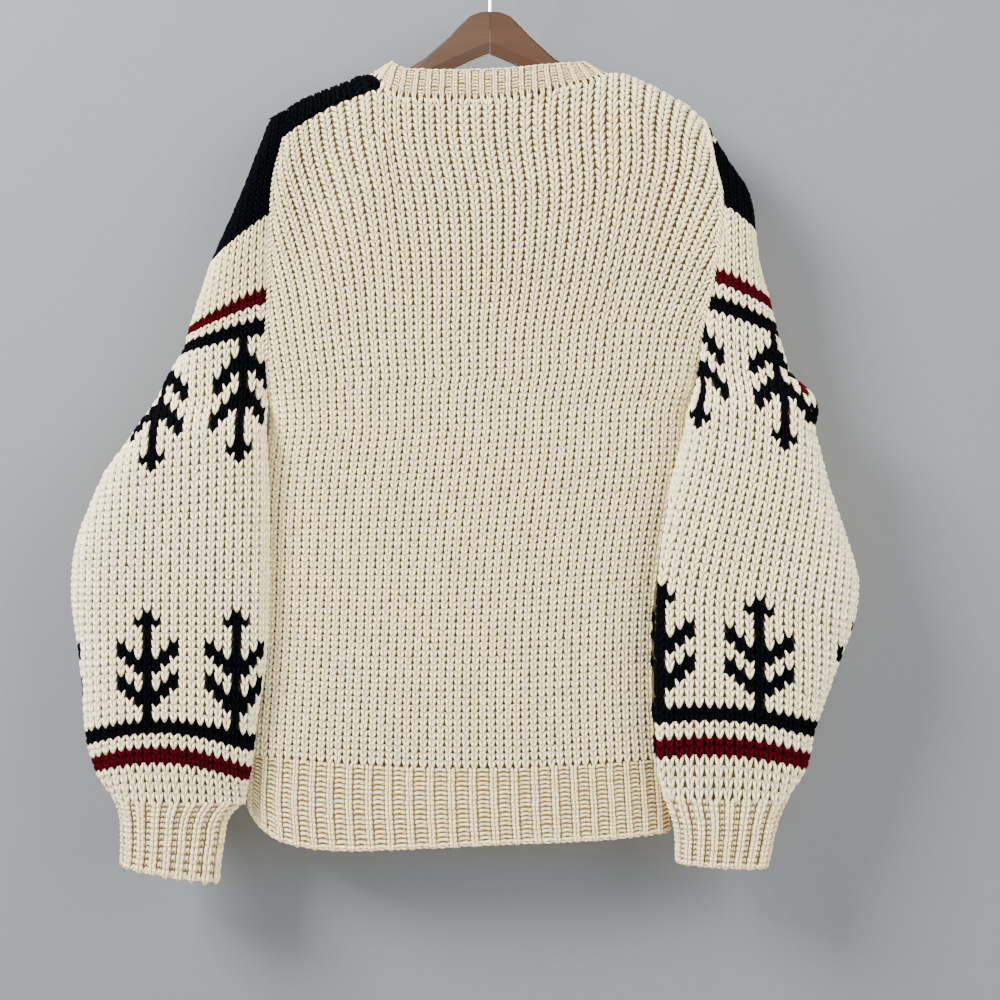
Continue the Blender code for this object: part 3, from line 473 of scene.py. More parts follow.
def sleeve_edges(side, z):
    """x of the outer and the inner edge, half depth and how open the section is on its inner side."""
    outer = smooth(OUTER[side], z)
    depth = smooth(SLEEVE_DEPTH, z)
    if z < underarm(side):
        return outer, smooth(INNER[side], z), depth, 0.0
    turn = math.asin(min(max(1 - (OUTER[side][0][0] - z) / SHOULDER_DROP, 0.0), 1.0))
    return outer, armhole_x(side, z), depth * math.cos(turn), armhole_half(side, z) * math.cos(turn)


def sleeve_middle(side, z):
    """y of a sleeve's middle: below the underarm it swings in front of the body's side."""
    return -SWING[side] * ease((underarm(side) - z) / DRAPE_DROP)


def sleeve_half(side, x, z):
    """Half depth of a sleeve at a place of its outline."""
    outer, inner, depth, opening = sleeve_edges(side, z)
    far = (1 - min(opening / depth, 1.0) ** ROUNDNESS) ** (1 / ROUNDNESS) if depth > 0 else 1.0
    s = -1 + (1 + far) * (x - outer) / (inner - outer) if inner != outer else 0.0
    return depth * bulge(min(max(s, -1.0), 1.0))


def neck_loop():
    """Vertices round the neck: the seam, the way out of the cloth, the way to the band's edge and the seam's gap."""
    loop = []
    for panel, band, neck, step in ((BACK, BACK_BAND, BACK_NECK, 1), (FRONT, FRONT_BAND, FRONT_NECK, -1)):
        rows = list(zip(range(neck[0], neck[1] + 1), band))[::step]
        for j, (across, up) in rows[:-1]:
            seam = panel.point(j, 1.0)
            out = (seam - panel.point(j, 1.0, WALL)).normalized()
            loop.append((seam, out, Vector((across, -0.08 * seam.y, up))))
    gaps = []
    for i, (_, out, _) in enumerate(loop):
        edge = loop[(i + 1) % len(loop)][0] - loop[i - 1][0]
        gaps.append(out.cross(edge).normalized() * SEAM * 1.5)
    return [(*entry, gap) for entry, gap in zip(loop, gaps)]


def blend_matrix(knots, places):
    """Weights that carry values at the knots to the places, on a smooth curve."""
    rows = np.zeros((len(places), len(knots)))
    for j in range(len(knots)):
        table = [(knot, 1.0 if k == j else 0.0) for k, knot in enumerate(knots)]
        rows[:, j] = [smooth(table, place) for place in places]
    return rows


def run_lengths(points):
    """The length along a line of points, at each of them."""
    return np.concatenate([[0.0], np.cumsum(np.linalg.norm(np.diff(points, axis=0), axis=1))])


def between(places, knots, points):
    """Points of a line at places along its knots."""
    return np.stack([np.interp(places, knots, points[:, k]) for k in range(3)], axis=1)


def evenly(points, count):
    """The points of a line spread evenly by length."""
    points = np.array(points)
    length = run_lengths(points)
    return between(np.linspace(0, length[-1], count), length, points)


def unit(vectors):
    return vectors / np.maximum(np.linalg.norm(vectors, axis=-1), 1e-9)[..., None]


def mirrored(cells):
    """The same cells with their corners named from the other side of the cloth."""
    return cells[:, [1, 0, 3, 2]]


def section_lengths(shares):
    """Lengths round half of the body's section, from its left side to shares of the way across, and the whole."""
    fine = (1 - np.cos(np.linspace(0, np.pi, 4001))) / 2
    half = (side_x(1, SECTION_Z) - side_x(-1, SECTION_Z)) / 2
    x = (2 * fine - 1) * half
    y = np.array([BODY_DEPTH * bulge(2 * f - 1) for f in fine])
    length = np.concatenate([[0.0], np.cumsum(np.hypot(np.diff(x), np.diff(y)))])
    return np.interp(shares, fine, length), length[-1]


def panel_grid(panel, fan):
    """A panel's cloth as a grid of points, and its stitches as the corners and the row of each.

    Rows run from the hem up and wales from the left side to the right. Above the underarm the wales lean outwards by
    the fan's amounts, and those that reach the armhole's seam end there.
    """
    count = len(panel.columns)
    knots, total = section_lengths([panel.across(j) for j in range(count)])
    even = np.linspace(0, total, FINE * BODY_WALES + 1)
    wales = even[::FINE]
    columns = []
    for j in range(count):
        across = panel.across(j)
        top, bottom = panel.low(across), hem_edge(across, 1)
        below = [panel.point_below(across, down, top, bottom) for down in np.linspace(1, 0, BELOW_POINTS)]
        above = [panel.point(j, share) for share in np.linspace(0, 1, ABOVE_POINTS)]
        columns.append(np.concatenate([evenly(below, ROWS_BELOW + 1), evenly(above, ROWS_ABOVE + 1)[1:]]))
    fine = np.einsum("wj,rjk->rwk", blend_matrix(list(knots), even), np.stack(columns, axis=1))
    shifts = np.array([smooth(fan, place / total) for place in wales])
    rises = np.maximum(np.arange(len(fine)) - ROWS_BELOW, 0) / ROWS_ABOVE
    edges = [np.clip(wales + shifts * rise**1.5, 0, total) for rise in rises]
    quads, rows = [], []
    for row in range(len(fine) - 1):
        low, high = (between(edges[k], even, fine[k]) for k in (row, row + 1))
        widths = np.diff(edges[row]), np.diff(edges[row + 1])
        wide = np.minimum(*widths) + 0.3 * np.maximum(*widths)
        for wale in np.flatnonzero(wide > LEAST_STITCH * total / BODY_WALES):
            quads.append([low[wale], low[wale + 1], high[wale + 1], high[wale]])
            rows.append(row)
    return fine[:, ::FINE], np.array(quads), rows


def sleeve_line(side, row):
    """A line of knitting round a sleeve, from the back's seam or the inner edge round to the front's."""
    inner_z, outer_z, arch = (smooth(KNIT_ROWS[side], row, k) for k in (1, 2, 3))
    outer_x = sleeve_edges(side, outer_z)[0]
    inner_x = sleeve_edges(side, inner_z)[1]
    if inner_z < underarm(side) - REACH_DROP:
        inner_x = side * max(side * inner_x, side * side_x(side, inner_z) - SLEEVE_REACH)
    middle = Vector(((outer_x + inner_x) / 2, (outer_z + inner_z) / 2))
    half = Vector((outer_x, outer_z)) - middle
    points = []
    for i in range(2 * FOLD_POINT + 1):
        across = math.cos(math.pi * (1 - i / FOLD_POINT))
        place = middle + half * across
        place.y += arch * (1 - across * across)
        depth = sleeve_half(side, place.x, place.y)
        back = 1 if i <= FOLD_POINT else -1
        points.append((place.x, sleeve_middle(side, place.y) - back * depth, place.y))
    return np.array(points)


class SleeveRows:
    """A sleeve's lines of knitting and where its wales cross them."""

    def __init__(self, side):
        self.side = side
        table = KNIT_ROWS[side]
        self.first, self.last = table[0][0], table[-1][0]
        self.lines = [sleeve_line(side, row) for row in range(self.first, self.last + 1)]
        self.lengths = [run_lengths(line) for line in self.lines]
        self.starts = []  # of each row: the length at which it crosses the trunk's wale, and a stitch's width
        for row, line, length in zip(range(self.first, self.last + 1), self.lines, self.lengths):
            middle = FOLD_POINT // 2
            start = length[middle] - side * (line[middle][0] - smooth(table, row, 4))
            self.starts.append((start, smooth(table, row, 5)))

    def at(self, index, lengths):
        length = self.lengths[index]
        return between(np.clip(lengths, 0, length[-1]), length, self.lines[index])

    def cells(self):
        """Corners, row and wale of each stitch."""
        quads, places = [], []
        for index in range(len(self.lines) - 1):
            starts = self.starts[index : index + 2]
            (top_start, top_pitch), (low_start, low_pitch) = starts
            ends = [self.lengths[index][-1], self.lengths[index + 1][-1]]
            low = math.floor(min(-top_start / top_pitch, -low_start / low_pitch)) - 1
            high = math.ceil(max((ends[0] - top_start) / top_pitch, (ends[1] - low_start) / low_pitch)) + 1
            kept = []
            for wale in range(low, high + 1):
                edges = [[start + (wale + off) * pitch for off in (-0.5, 0.5)] for start, pitch in starts]
                spans = [min(max(b, 0), end) - min(max(a, 0), end) for (a, b), end in zip(edges, ends)]
                if min(spans) >= 0 and max(spans) >= 0.5 * top_pitch:
                    kept.append((wale, edges))
            # The first and the last stitch reach the ends of the row
            for line in kept[0][1]:
                line[0] = 0.0
            for line, end in zip(kept[-1][1], ends):
                line[1] = end
            for wale, edges in kept:
                top, bottom = self.at(index, np.array(edges[0])), self.at(index + 1, np.array(edges[1]))
                if self.side < 0:
                    top, bottom = top[::-1], bottom[::-1]
                quads.append([bottom[0], bottom[1], top[1], top[0]])
                places.append((self.first + index, wale))
        return np.array(quads), places


def sleeve_colour(row, wale):
    """Name of the yarn of a stitch on a sleeve."""
    if row > FAR_TREES[0] and wale > FAR_TREES[1]:
        wale -= FAR_TREES[2]
    if row < 0:
        return "black"
    for first, last, colour in STRIPES:
        if first <= row <= last:
            return colour
    away = abs((wale + REPEAT // 2) % REPEAT - REPEAT // 2)
    for step in (row - UPPER_BLACK - 1, LOWER_BLACK - row):
        if any(first <= step <= last and away == distance for first, last, distance in TREE):
            return "black"
    return "trim" if row >= TRIM_ROW else "cream"


def leg_template(rings, mirror):
    """Middle and offset of each vertex of a half tube (across, up, height), its UV and its faces."""
    verts, uvs, faces = [], [], []
    centre = np.array([ring[:2] for ring in rings])
    heading = np.gradient(centre, axis=0)
    heading /= np.linalg.norm(heading, axis=1)[:, None]
    for i, (across, up, half, base, crown) in enumerate(rings):
        sideways = np.array([heading[i][1], -heading[i][0]])
        for k, (share, lift) in enumerate(PROFILE):
            offset = sideways * share * half * ((-1, 1) if mirror else (1, 1))
            verts.append((1 - across if mirror else across, up, *offset, base + (crown - base) * lift))
            uvs.append((i / (len(rings) - 1), 1 - k / 3 if mirror else k / 3))
    width = len(PROFILE)
    for i in range(len(rings) - 1):
        for k in range(width - 1):
            quad = (i * width + k, i * width + k + 1, (i + 1) * width + k + 1, (i + 1) * width + k)
            faces.append(quad if mirror else quad[::-1])
    return verts, uvs, faces


def template(kind):
    """Vertices, UV, faces and painted shade of one stitch in a unit cell: darker at its ends and foot, lighter on its
    top.
    """
    verts, uvs, faces, shades = [], [], [], []
    for rings, mirror in TEMPLATES[kind]:
        part_verts, part_uvs, part_faces = leg_template(rings, mirror)
        for i in range(len(rings)):
            # painted shade at each tube's ends and along its foot, painted highlight along its top
            end = END_PAINTED_SHADE if i in (0, len(rings) - 1) else 1.0
            shades += [end * (CROWN_PAINTED_HIGHLIGHT if lift else BASE_PAINTED_SHADE) for _, lift in PROFILE]
        faces += [tuple(v + len(verts) for v in face) for face in part_faces]
        verts += part_verts
        uvs += part_uvs
    return np.array(verts), np.array(uvs), np.array(faces), np.array(shades)


def mesh_from(name, verts, faces, colours, material, uvs=None):
    """An object of a mesh in millimetres, with a colour at each vertex."""
    mesh = bpy.data.meshes.new(name)
    mesh.vertices.add(len(verts))
    mesh.vertices.foreach_set("co", (verts * MM).astype(np.float32).ravel())
    mesh.loops.add(faces.size)
    mesh.loops.foreach_set("vertex_index", faces.astype(np.int32).ravel())
    mesh.polygons.add(len(faces))
    mesh.polygons.foreach_set("loop_start", (np.arange(len(faces)) * faces.shape[1]).astype(np.int32))
    mesh.polygons.foreach_set("loop_total", np.full(len(faces), faces.shape[1], dtype=np.int32))
    mesh.update(calc_edges=True)
    mesh.shade_smooth()
    layer = mesh.color_attributes.new("yarn", "FLOAT_COLOR", "POINT")
    opaque = np.concatenate([colours, np.ones((len(colours), 1))], axis=1)
    layer.data.foreach_set("color", opaque.astype(np.float32).ravel())
    if uvs is not None:
        uv = mesh.uv_layers.new(name="yarn_length")
        uv.data.foreach_set("uv", uvs[faces.ravel()].astype(np.float32).ravel())
    mesh.validate()
    mesh.materials.append(material)
    obj = bpy.data.objects.new(name, mesh)
    bpy.context.collection.objects.link(obj)
    return obj


def knit(name, quads, colours, kind, material, lift=0.0, seed=1, gauge=None):
    """One mesh of stitches, each shaped to the four corners of its cell.

    The gauge keeps the yarn's thickness where the cells are stretched. Each stitch is a little larger or smaller,
    moved and shaded by chance.
    """
    shape, uv, faces, depth = template(kind)
    rng = np.random.default_rng(seed)
    count = len(quads)
    wide = quads[:, 1] - quads[:, 0] + quads[:, 2] - quads[:, 3]
    tall = quads[:, 3] - quads[:, 0] + quads[:, 2] - quads[:, 1]
    normal = unit(np.cross(wide, tall))
    pitch = np.minimum(np.linalg.norm(wide, axis=1) / 2, WIDEST_STITCH)
    thick = np.ones(count)
    if gauge is not None:
        thick = np.clip(gauge / np.maximum(pitch, 0.1), *GAUGE_LIMITS)
        pitch = pitch * thick
    a = shape[None, :, 0] + shape[None, :, 2] * thick[:, None]
    b = shape[None, :, 1] + shape[None, :, 3] * np.ones((count, 1))
    weights = np.stack([(1 - a) * (1 - b), a * (1 - b), a * b, (1 - a) * b])
    verts = np.einsum("cnv,nck->nvk", weights, quads)
    size = rng.normal(1.0, SIZE_SPREAD, count)
    height = (shape[None, :, 4] * (pitch * size)[:, None] + lift)[:, :, None]
    verts = verts + normal[:, None, :] * height
    verts += rng.normal(0, PLACE_SPREAD, (count, 1, 3))
    shade = rng.normal(1.0, SHADE_SPREAD, (count, 1, 1))
    # each vertex takes the stitch's random tone and its painted shade and highlight
    tint = np.repeat(colours[:, None, :] * shade, len(shape), axis=1) * depth[None, :, None]
    all_faces = (faces[None] + (np.arange(count) * len(shape))[:, None, None]).reshape(-1, 4)
    along_uv = np.tile(uv, (count, 1))
    along_uv[:, 0] += np.repeat(rng.random(count) * 5, len(shape))
    obj = mesh_from(name, verts.reshape(-1, 3), all_faces, tint.reshape(-1, 3), material, along_uv)
    is_dark = (colours.min(axis=1) < DARK_YARN) & (kind == "knit")
    if is_dark.any():
        obj.data.materials.append(yarn_material("wool_dark", 0.4, 0.0, 0.02))
        obj.data.polygons.foreach_set("material_index", np.repeat(is_dark.astype(np.int32), len(faces)))
    return obj


def shell(name, grid, sign, colours, outer=1.3, inner=4.2):
    """A thin closed sheet of cloth under the stitches, from a grid of points on their surface.

    Outer and inner are how deep its faces lie. Its colours are the yarn's, darkened as painted shade where it shows
    between the stitches.
    """
    normal = unit(np.cross(np.gradient(grid, axis=1), np.gradient(grid, axis=0)) * sign)
    rows, width = grid.shape[:2]
    verts = np.concatenate([(grid - normal * outer).reshape(-1, 3), (grid - normal * inner).reshape(-1, 3)])
    index = np.arange(rows * width).reshape(rows, width)
    quads = np.stack([index[:-1, :-1], index[:-1, 1:], index[1:, 1:], index[1:, :-1]], axis=2).reshape(-1, 4)
    ring = np.concatenate([index[0, :-1], index[:-1, -1], index[-1, :0:-1], index[:0:-1, 0]])
    after = np.roll(ring, -1)
    offset = rows * width
    rim = np.stack([ring, ring + offset, after + offset, after], axis=1)
    faces = np.concatenate([quads, quads[:, ::-1] + offset, rim])
    if sign < 0:
        faces = faces[:, ::-1]
    # painted shade: the yarn's colour darkened as in the shadow between the stitches
    tint = np.tile((colours * np.array(SHADE_BETWEEN_STITCHES)).reshape(-1, 3), (2, 1))
    return mesh_from(name, verts, faces, tint, backing_material())


def palette(scene):
    """The yarns' colours, as numbers that the charts look up by name."""
    yarns = scene.pullover_yarns
    return {name: np.array(getattr(yarns, name)[:3]) for name in ("cream", "trim", "rib", "black", "red")}


def noise_field(points, seed, scale):
    """Slow random change over the cloth, from about -1 to 1."""
    rng = np.random.default_rng(seed)
    total = np.zeros(len(points))
    for _ in range(6):
        way = rng.normal(0, 1, 3) / scale
        total += np.sin(points @ way * 2 * np.pi + rng.random() * 6.28)
    return total / 3.5


def weathered(quads, colours, seed):
    """Warmer and greyer patches, as old wool has."""
    warm = noise_field(quads.mean(axis=1), seed, PATCH_SIZE)[:, None]
    return colours * (1 + warm * np.array(PATCH_TINT))


def bleed(rows, colours, names):
    """Pink where the red yarn's dye has run into the cream rows beside it."""
    rng = np.random.default_rng(5)
    red_rows = sorted({row for row, name in zip(rows, names) if name == "red"})
    for index, name in enumerate(names):
        if name in ("cream", "trim") and red_rows:
            near = min(abs(rows[index] - r) for r in red_rows)
            if near in BLEED:
                amount = BLEED[near] * rng.random()
                colours[index] = colours[index] * (1 - amount) + np.array(PINK) * amount
    return colours


def register_piece(obj, parts):
    """Parent a piece of cloth and the stitches that go with it to the root body's empty."""
    for part in parts:
        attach(part, "root")
    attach(obj, "root")


# Materials -----------------------------------------------------------------------------------------------------


def node(tree, kind, at, sockets=(), **settings):
    """A shader node, whose sockets take a value or a link from another node's socket."""
    made = tree.nodes.new("ShaderNode" + kind)
    made.location = at
    for key, value in settings.items():
        setattr(made, key, value)
    for socket, value in dict(sockets).items():
        if isinstance(value, bpy.types.NodeSocket):
            tree.links.new(value, made.inputs[socket])
        else:
            made.inputs[socket].default_value = value
    return made


def new_material(name, sockets):
    """A material, its tree and its Principled node with the given values."""
    material = bpy.data.materials.new(name)
    material.use_nodes = True
    shader = material.node_tree.nodes["Principled BSDF"]
    for socket, value in sockets.items():
        shader.inputs[socket].default_value = value
    return material, material.node_tree, shader


def yarn_group():
    """Plies that wind round the yarn, with fine fibres over them, as a height for bumps and as painted shade in the
    yarn's colour.
    """
    tree = bpy.data.node_groups.get("YarnPlies")
    if tree:
        return tree
    tree = bpy.data.node_groups.new("YarnPlies", "ShaderNodeTree")
    for label, value in (("Plies", 2.2), ("Fibre Scale", 900.0), ("Fuzz", 0.5)):
        tree.interface.new_socket(label, in_out="INPUT", socket_type="NodeSocketFloat").default_value = value
    for label in ("Height", "Shade"):
        tree.interface.new_socket(label, in_out="OUTPUT", socket_type="NodeSocketFloat")
    source, result = tree.nodes.new("NodeGroupInput"), tree.nodes.new("NodeGroupOutput")
    uv = node(tree, "UVMap", (-1080, 0), uv_map="yarn_length")
    split = node(tree, "SeparateXYZ", (-900, 0), {0: uv.outputs[0]})
    turns = {0: split.outputs["X"], 1: source.outputs["Plies"]}
    turn = node(tree, "Math", (-720, 0), turns, operation="MULTIPLY")
    angle = node(tree, "Math", (-540, 0), {0: turn.outputs[0], 1: 6.2832}, operation="MULTIPLY")
    winding = {0: split.outputs["Y"], 1: 3.4, 2: angle.outputs[0]}
    wound = node(tree, "Math", (-360, 0), winding, operation="MULTIPLY_ADD")
    wave = node(tree, "Math", (-180, 0), {0: wound.outputs[0]}, operation="SINE")
    coords = node(tree, "TexCoord", (-900, -300))
    noise = {"Vector": coords.outputs["Object"], "Scale": source.outputs["Fibre Scale"]}
    fibres = node(tree, "TexNoise", (-520, -300), noise | {"Detail": 3.0, "Roughness": 0.65})
    fuzzy = {0: fibres.outputs["Fac"], 1: source.outputs["Fuzz"], 2: wave.outputs[0]}
    mix = node(tree, "Math", (40, -100), fuzzy, operation="MULTIPLY_ADD")
    # Shade: darker in the grooves between the plies and lighter on them, painted shade and highlight, with the fibres'
    # random tone
    limits = {"Value": mix.outputs[0], "From Min": -1.2, "From Max": 1.4, "To Min": 0.80, "To Max": 1.08}
    shade = node(tree, "MapRange", (240, -240), limits)
    tree.links.new(mix.outputs[0], result.inputs["Height"])
    tree.links.new(shade.outputs[0], result.inputs["Shade"])
    return tree


def yarn_material(name, bumps=0.5, sheen=0.08, specular=0.12):
    """Wool in the mesh's own colours, scaled by the plies' painted shade and the fibres' tone."""
    found = bpy.data.materials.get(name)
    if found:
        return found
    looks = {"Roughness": 0.95, "Specular IOR Level": specular, "Sheen Weight": sheen, "Sheen Roughness": 0.5}
    material, tree, shader = new_material(name, looks)
    plies = node(tree, "Group", (-600, -100), node_tree=yarn_group())
    colour = node(tree, "Attribute", (-600, 200), attribute_name="yarn")
    # the yarn's colour scaled by the plies' painted shade and the fibres' tone
    shading = {0: colour.outputs["Color"], "Scale": plies.outputs["Shade"]}
    shade = node(tree, "VectorMath", (-300, 160), shading, operation="SCALE")
    relief = {"Strength": bumps, "Distance": 0.0006, "Height": plies.outputs["Height"]}
    bump = node(tree, "Bump", (-300, -160), relief)
    tree.links.new(shade.outputs[0], shader.inputs["Base Color"])
    tree.links.new(bump.outputs[0], shader.inputs["Normal"])
    return material


def backing_material():
    """Plain wool under the stitches and in the neckband's holes, in vertex colours that carry painted shade."""
    found = bpy.data.materials.get("knit_backing_painted_shade")
    if found:
        return found
    material, tree, shader = new_material("knit_backing_painted_shade", {"Roughness": 1.0, "Specular IOR Level": 0.05})
    colour = node(tree, "Attribute", (-500, 200), attribute_name="yarn")
    tree.links.new(colour.outputs["Color"], shader.inputs["Base Color"])
    return material


def wood_material(name, dark_tone, light_tone, lean):
    """Wood whose grain runs at an angle to the horizontal."""
    material, tree, shader = new_material(name, {"Roughness": 0.5, "Specular IOR Level": 0.3})
    coords = node(tree, "TexCoord", (-1100, 0))
    placing = {"Vector": coords.outputs["Object"], "Rotation": (0, lean, 0), "Scale": (3.0, 30.0, 30.0)}
    turn = node(tree, "Mapping", (-900, 0), placing).outputs[0]
    grain = node(tree, "TexNoise", (-680, 80), {"Vector": turn, "Scale": 3.0, "Detail": 6.0, "Distortion": 0.6})
    rings = node(tree, "TexNoise", (-680, -160), {"Vector": turn, "Scale": 14.0, "Detail": 3.0})
    ramp = node(tree, "ValToRGB", (-440, 80), {"Fac": grain.outputs["Fac"]})
    for stop, place, tone in zip(ramp.color_ramp.elements, (0.32, 0.68), (dark_tone, light_tone)):
        stop.position = place
        stop.color = (*tone, 1)
    bump = node(tree, "Bump", (-260, -180), {"Strength": 0.15, "Distance": 0.0004, "Height": rings.outputs["Fac"]})
    tree.links.new(ramp.outputs["Color"], shader.inputs["Base Color"])
    tree.links.new(bump.outputs[0], shader.inputs["Normal"])
    return material


def stage_material(name, colour):
    """A backdrop that only the camera sees, and only from the front, so that it leaves the far side's light alone."""
    material, tree, shader = new_material(name, {"Base Color": (*colour, 1), "Roughness": 0.9})
    clear = node(tree, "BsdfTransparent", (0, -200))
    side = node(tree, "NewGeometry", (-400, 200))
    path = node(tree, "LightPath", (-400, 400))
    rays = {0: path.outputs["Is Camera Ray"], 1: side.outputs["Backfacing"]}
    seen = node(tree, "Math", (-100, 300), rays, operation="SUBTRACT", use_clamp=True)
    mix = node(tree, "MixShader", (200, 0), {0: seen.outputs[0], 1: clear.outputs[0], 2: shader.outputs[0]})
    tree.links.new(mix.outputs[0], tree.nodes["Material Output"].inputs["Surface"])
    return material


# Pieces of the pullover ------------------------------------------------------------------------------------------


def plain(colour, cells):
    """One colour for all the cells."""
    return np.tile(colour, (len(cells), 1))


def armhole_edge(name, grid, column, colour, material):
    """Stitches that have turned to lie across the back's edge at the armhole's seam."""
    step = 1 if column == 0 else -1
    rows = grid[ROWS_BELOW + 6 :, :]
    places = np.linspace(0, len(rows) - 1, EDGE_STITCHES + 1)
    points, inners = (between(places, range(len(rows)), rows[:, k]) for k in (column, column + step))
    cells = np.stack([points[:-1], inners[:-1], inners[1:], points[1:]], axis=1)
    if step < 0:
        cells = mirrored(cells)
    return knit(name, cells, plain(colour * EDGE_TINT, cells), "turned", material, lift=1.5, seed=31)


def neck_lining(quads, rows, colour, material):
    """The cloth's purl side, where the open neck shows the inside of the back."""
    shown = [cell for cell, row in zip(quads, rows) if row > LINING_ROW and abs(cell[:, 0].mean()) < LINING_HALF]
    cells = mirrored(np.array(shown))
    normal = unit(np.cross(cells[:, 1] - cells[:, 0], cells[:, 3] - cells[:, 0]))
    cells = cells + normal[:, None, :] * LINING_DEPTH
    return knit("back_inside", cells, plain(colour * LINING_TINT, cells), "purl", material, seed=33)


def build_panel(context, label, panel, fan, yoke, seeds, gauge=None):
    """The back or the front, which is black above the yoke's height."""
    colours = palette(context.scene)
    grid, quads, rows = panel_grid(panel, fan)
    if panel is FRONT:
        grid, quads = grid[:, ::-1], mirrored(quads)
    tints = np.where(quads[:, :, 2].mean(axis=1)[:, None] > yoke, colours["black"], colours["cream"])
    values = weathered(quads, tints, seeds[0])
    shades = np.where(grid[:, :, 2:] > yoke, colours["black"], colours["cream"])
    obj = shell(f"knit_{label}", grid, 1, shades)
    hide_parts(f"{label}_panel")
    wool = yarn_material("wool_body")
    half = (ROWS_BELOW - 6) * BODY_WALES
    parts = [
        knit(f"stitches_{label}_lower", quads[:half], values[:half], "knit", wool, seed=seeds[1], gauge=gauge),
        knit(f"stitches_{label}_upper", quads[half:], values[half:], "knit", wool, seed=seeds[2], gauge=gauge),
    ]
    if panel is BACK:
        cream = colours["cream"]
        parts.append(armhole_edge("back_edge_left", grid, 0, cream, wool))
        parts.append(armhole_edge("back_edge_right", grid, -1, cream, wool))
        parts.append(neck_lining(quads, rows, cream, wool))
    register_piece(obj, parts)


def build_sleeve(context, side):
    """A sleeve in its stripes and trees."""
    label = "left" if side < 0 else "right"
    colours = palette(context.scene)
    rows = SleeveRows(side)
    quads, places = rows.cells()
    names = [sleeve_colour(row, wale) for row, wale in places]
    if side > 0:
        for index, quad in enumerate(quads):
            x, y, z = quad.mean(axis=0)
            if z > CAP_TOP and y < CAP_DEPTH:
                names[index] = "cream"
            if x > FOLD_X + (FOLD_TOP - z) * FOLD_SLOPE and FOLD_BOTTOM < z < FOLD_TOP:
                names[index] = "red" if z > FOLD_RED else "trim" if z > FOLD_BLACK else "black"
    values = bleed([row for row, _ in places], np.array([colours[name] for name in names]), names)
    values = weathered(quads, values, 6 + side)
    lines = np.array(rows.lines)[:, ::2]
    shades = np.zeros(lines.shape)
    for index in range(len(lines)):
        start, pitch = rows.starts[index]
        wales = np.round((rows.lengths[index][::2] - start) / pitch).astype(int)
        row = min(rows.first + index, rows.last - 1)
        here, above = (
            np.array([colours[sleeve_colour(at, int(w))] for w in wales]) for at in (row, max(row - 1, rows.first))
        )
        shades[index] = np.where(above.sum(axis=1, keepdims=True) < here.sum(axis=1, keepdims=True), above, here)
    obj = shell(f"knit_sleeve_{label}", lines, -side, shades)
    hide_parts(f"sleeve_{label}")
    part = knit(f"stitches_sleeve_{label}", quads, values, "knit", yarn_material("wool_body"), seed=20 + side)
    register_piece(obj, [part])


def evened(line):
    """The same line function with its shares across spread evenly by length."""
    shares = np.linspace(0, 1, 721)
    length = run_lengths(np.array([tuple(line(share, 0.5, 0.0)) for share in shares]))
    length /= length[-1]
    return lambda share, down, lift: line(float(np.interp(share, length, shares)), down, lift)


def rib_cells(line, rows, ribs, wide):
    """Cells of knit and purl columns from a function of (share across, share down, lift)."""
    knit_quads, purl_quads = [], []
    for rib in range(ribs):
        for quads, start, end, lift in (
            (knit_quads, rib, rib + wide, KNIT_LIFT),
            (purl_quads, rib + wide, rib + 1, PURL_LIFT),
        ):
            left, right = ([line(x / ribs, i / rows, lift) for i in range(rows + 1)] for x in (start, end))
            for i in range(rows):
                quads.append([left[i + 1], right[i + 1], right[i], left[i]])
    return np.array(knit_quads, dtype=float), np.array(purl_quads, dtype=float)


def build_ribbing(context, name, node_name, line, rows, ribs, wide, sign, flip, chain, seed):
    """A band of knit-one purl-one ribbing with its shell and the chain along its edge."""
    rib = palette(context.scene)["rib"]
    knits, purls = rib_cells(line, rows, ribs, wide)
    if flip:
        knits, purls = mirrored(knits), mirrored(purls)
    grid = np.array([[line(k / (ribs * 3), i / 8, -1.0) for k in range(ribs * 3 + 1)] for i in range(9)])
    # the shell's painted shade between the ribs, lighter than on the body
    obj = shell(f"{name}_cloth", grid, sign, np.broadcast_to(rib * RIB_GAP_SHADE_LIFT, grid.shape), outer=0.9, inner=3.4)
    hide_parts(node_name)
    wool = yarn_material("wool_rib")
    parts = [
        knit(f"{name}_knit", knits, weathered(knits, plain(rib, knits), seed), "rib", wool, seed=seed),
        knit(f"{name}_purl", purls, plain(rib * PURL_TINT, purls), "purl", wool, seed=seed + 1),
        knit(f"{name}_edge", chain, plain(rib * EDGE_TINT, chain), "knit", wool, lift=0.4, seed=seed + 2),
    ]
    register_piece(obj, parts)


def edge_chain(points, outs, wide, step):
    """Cells whose stitches lie along an edge: points on it, the way out of the cloth there, and the edge's height."""
    line = np.array([tuple(point) for point in points])
    steps = run_lengths(line)
    places = np.linspace(0, steps[-1], max(int(steps[-1] / step), 4) + 1)
    even, out = between(places, steps, line), between(places, steps, np.array(outs))
    cells = []
    for a, b, n in zip(even[:-1], even[1:], out[:-1]):
        run = (b - a) / np.linalg.norm(b - a)
        half = np.cross(n / np.linalg.norm(n), run) * wide / 2
        cells.append([a + half, a - half, b - half, b + half])
    return np.array(cells)


def hem_line(panel):
    def line(share, down, lift):
        across = 0.25 * (1 - math.cos(math.pi * share)) / 2 + 0.75 * share
        top, low = hem_edge(across, 1) - 0.4, hem_edge(across, 2)
        fade = min(share, 1 - share) * 20
        return panel.point_below(across, down, top, low, lift * min(fade, 1.0) or 0.001)

    return line


def build_hems(context):
    for label, panel in (("back", BACK), ("front", FRONT)):
        line = hem_line(panel)
        edge = [line(i / EDGE_POINTS, 0.985, -1.2) for i in range(EDGE_POINTS + 1)]
        chain = edge_chain(edge, [(0, panel.facing, -0.35)] * len(edge), 6.0, 6.6)
        build_ribbing(
            context, f"hem_{label}", f"{label}_hem_rib", line, HEM_ROWS, BODY_RIBS, HEM_KNIT,
            panel.facing, panel is FRONT, chain, 40,
        )  # fmt: skip


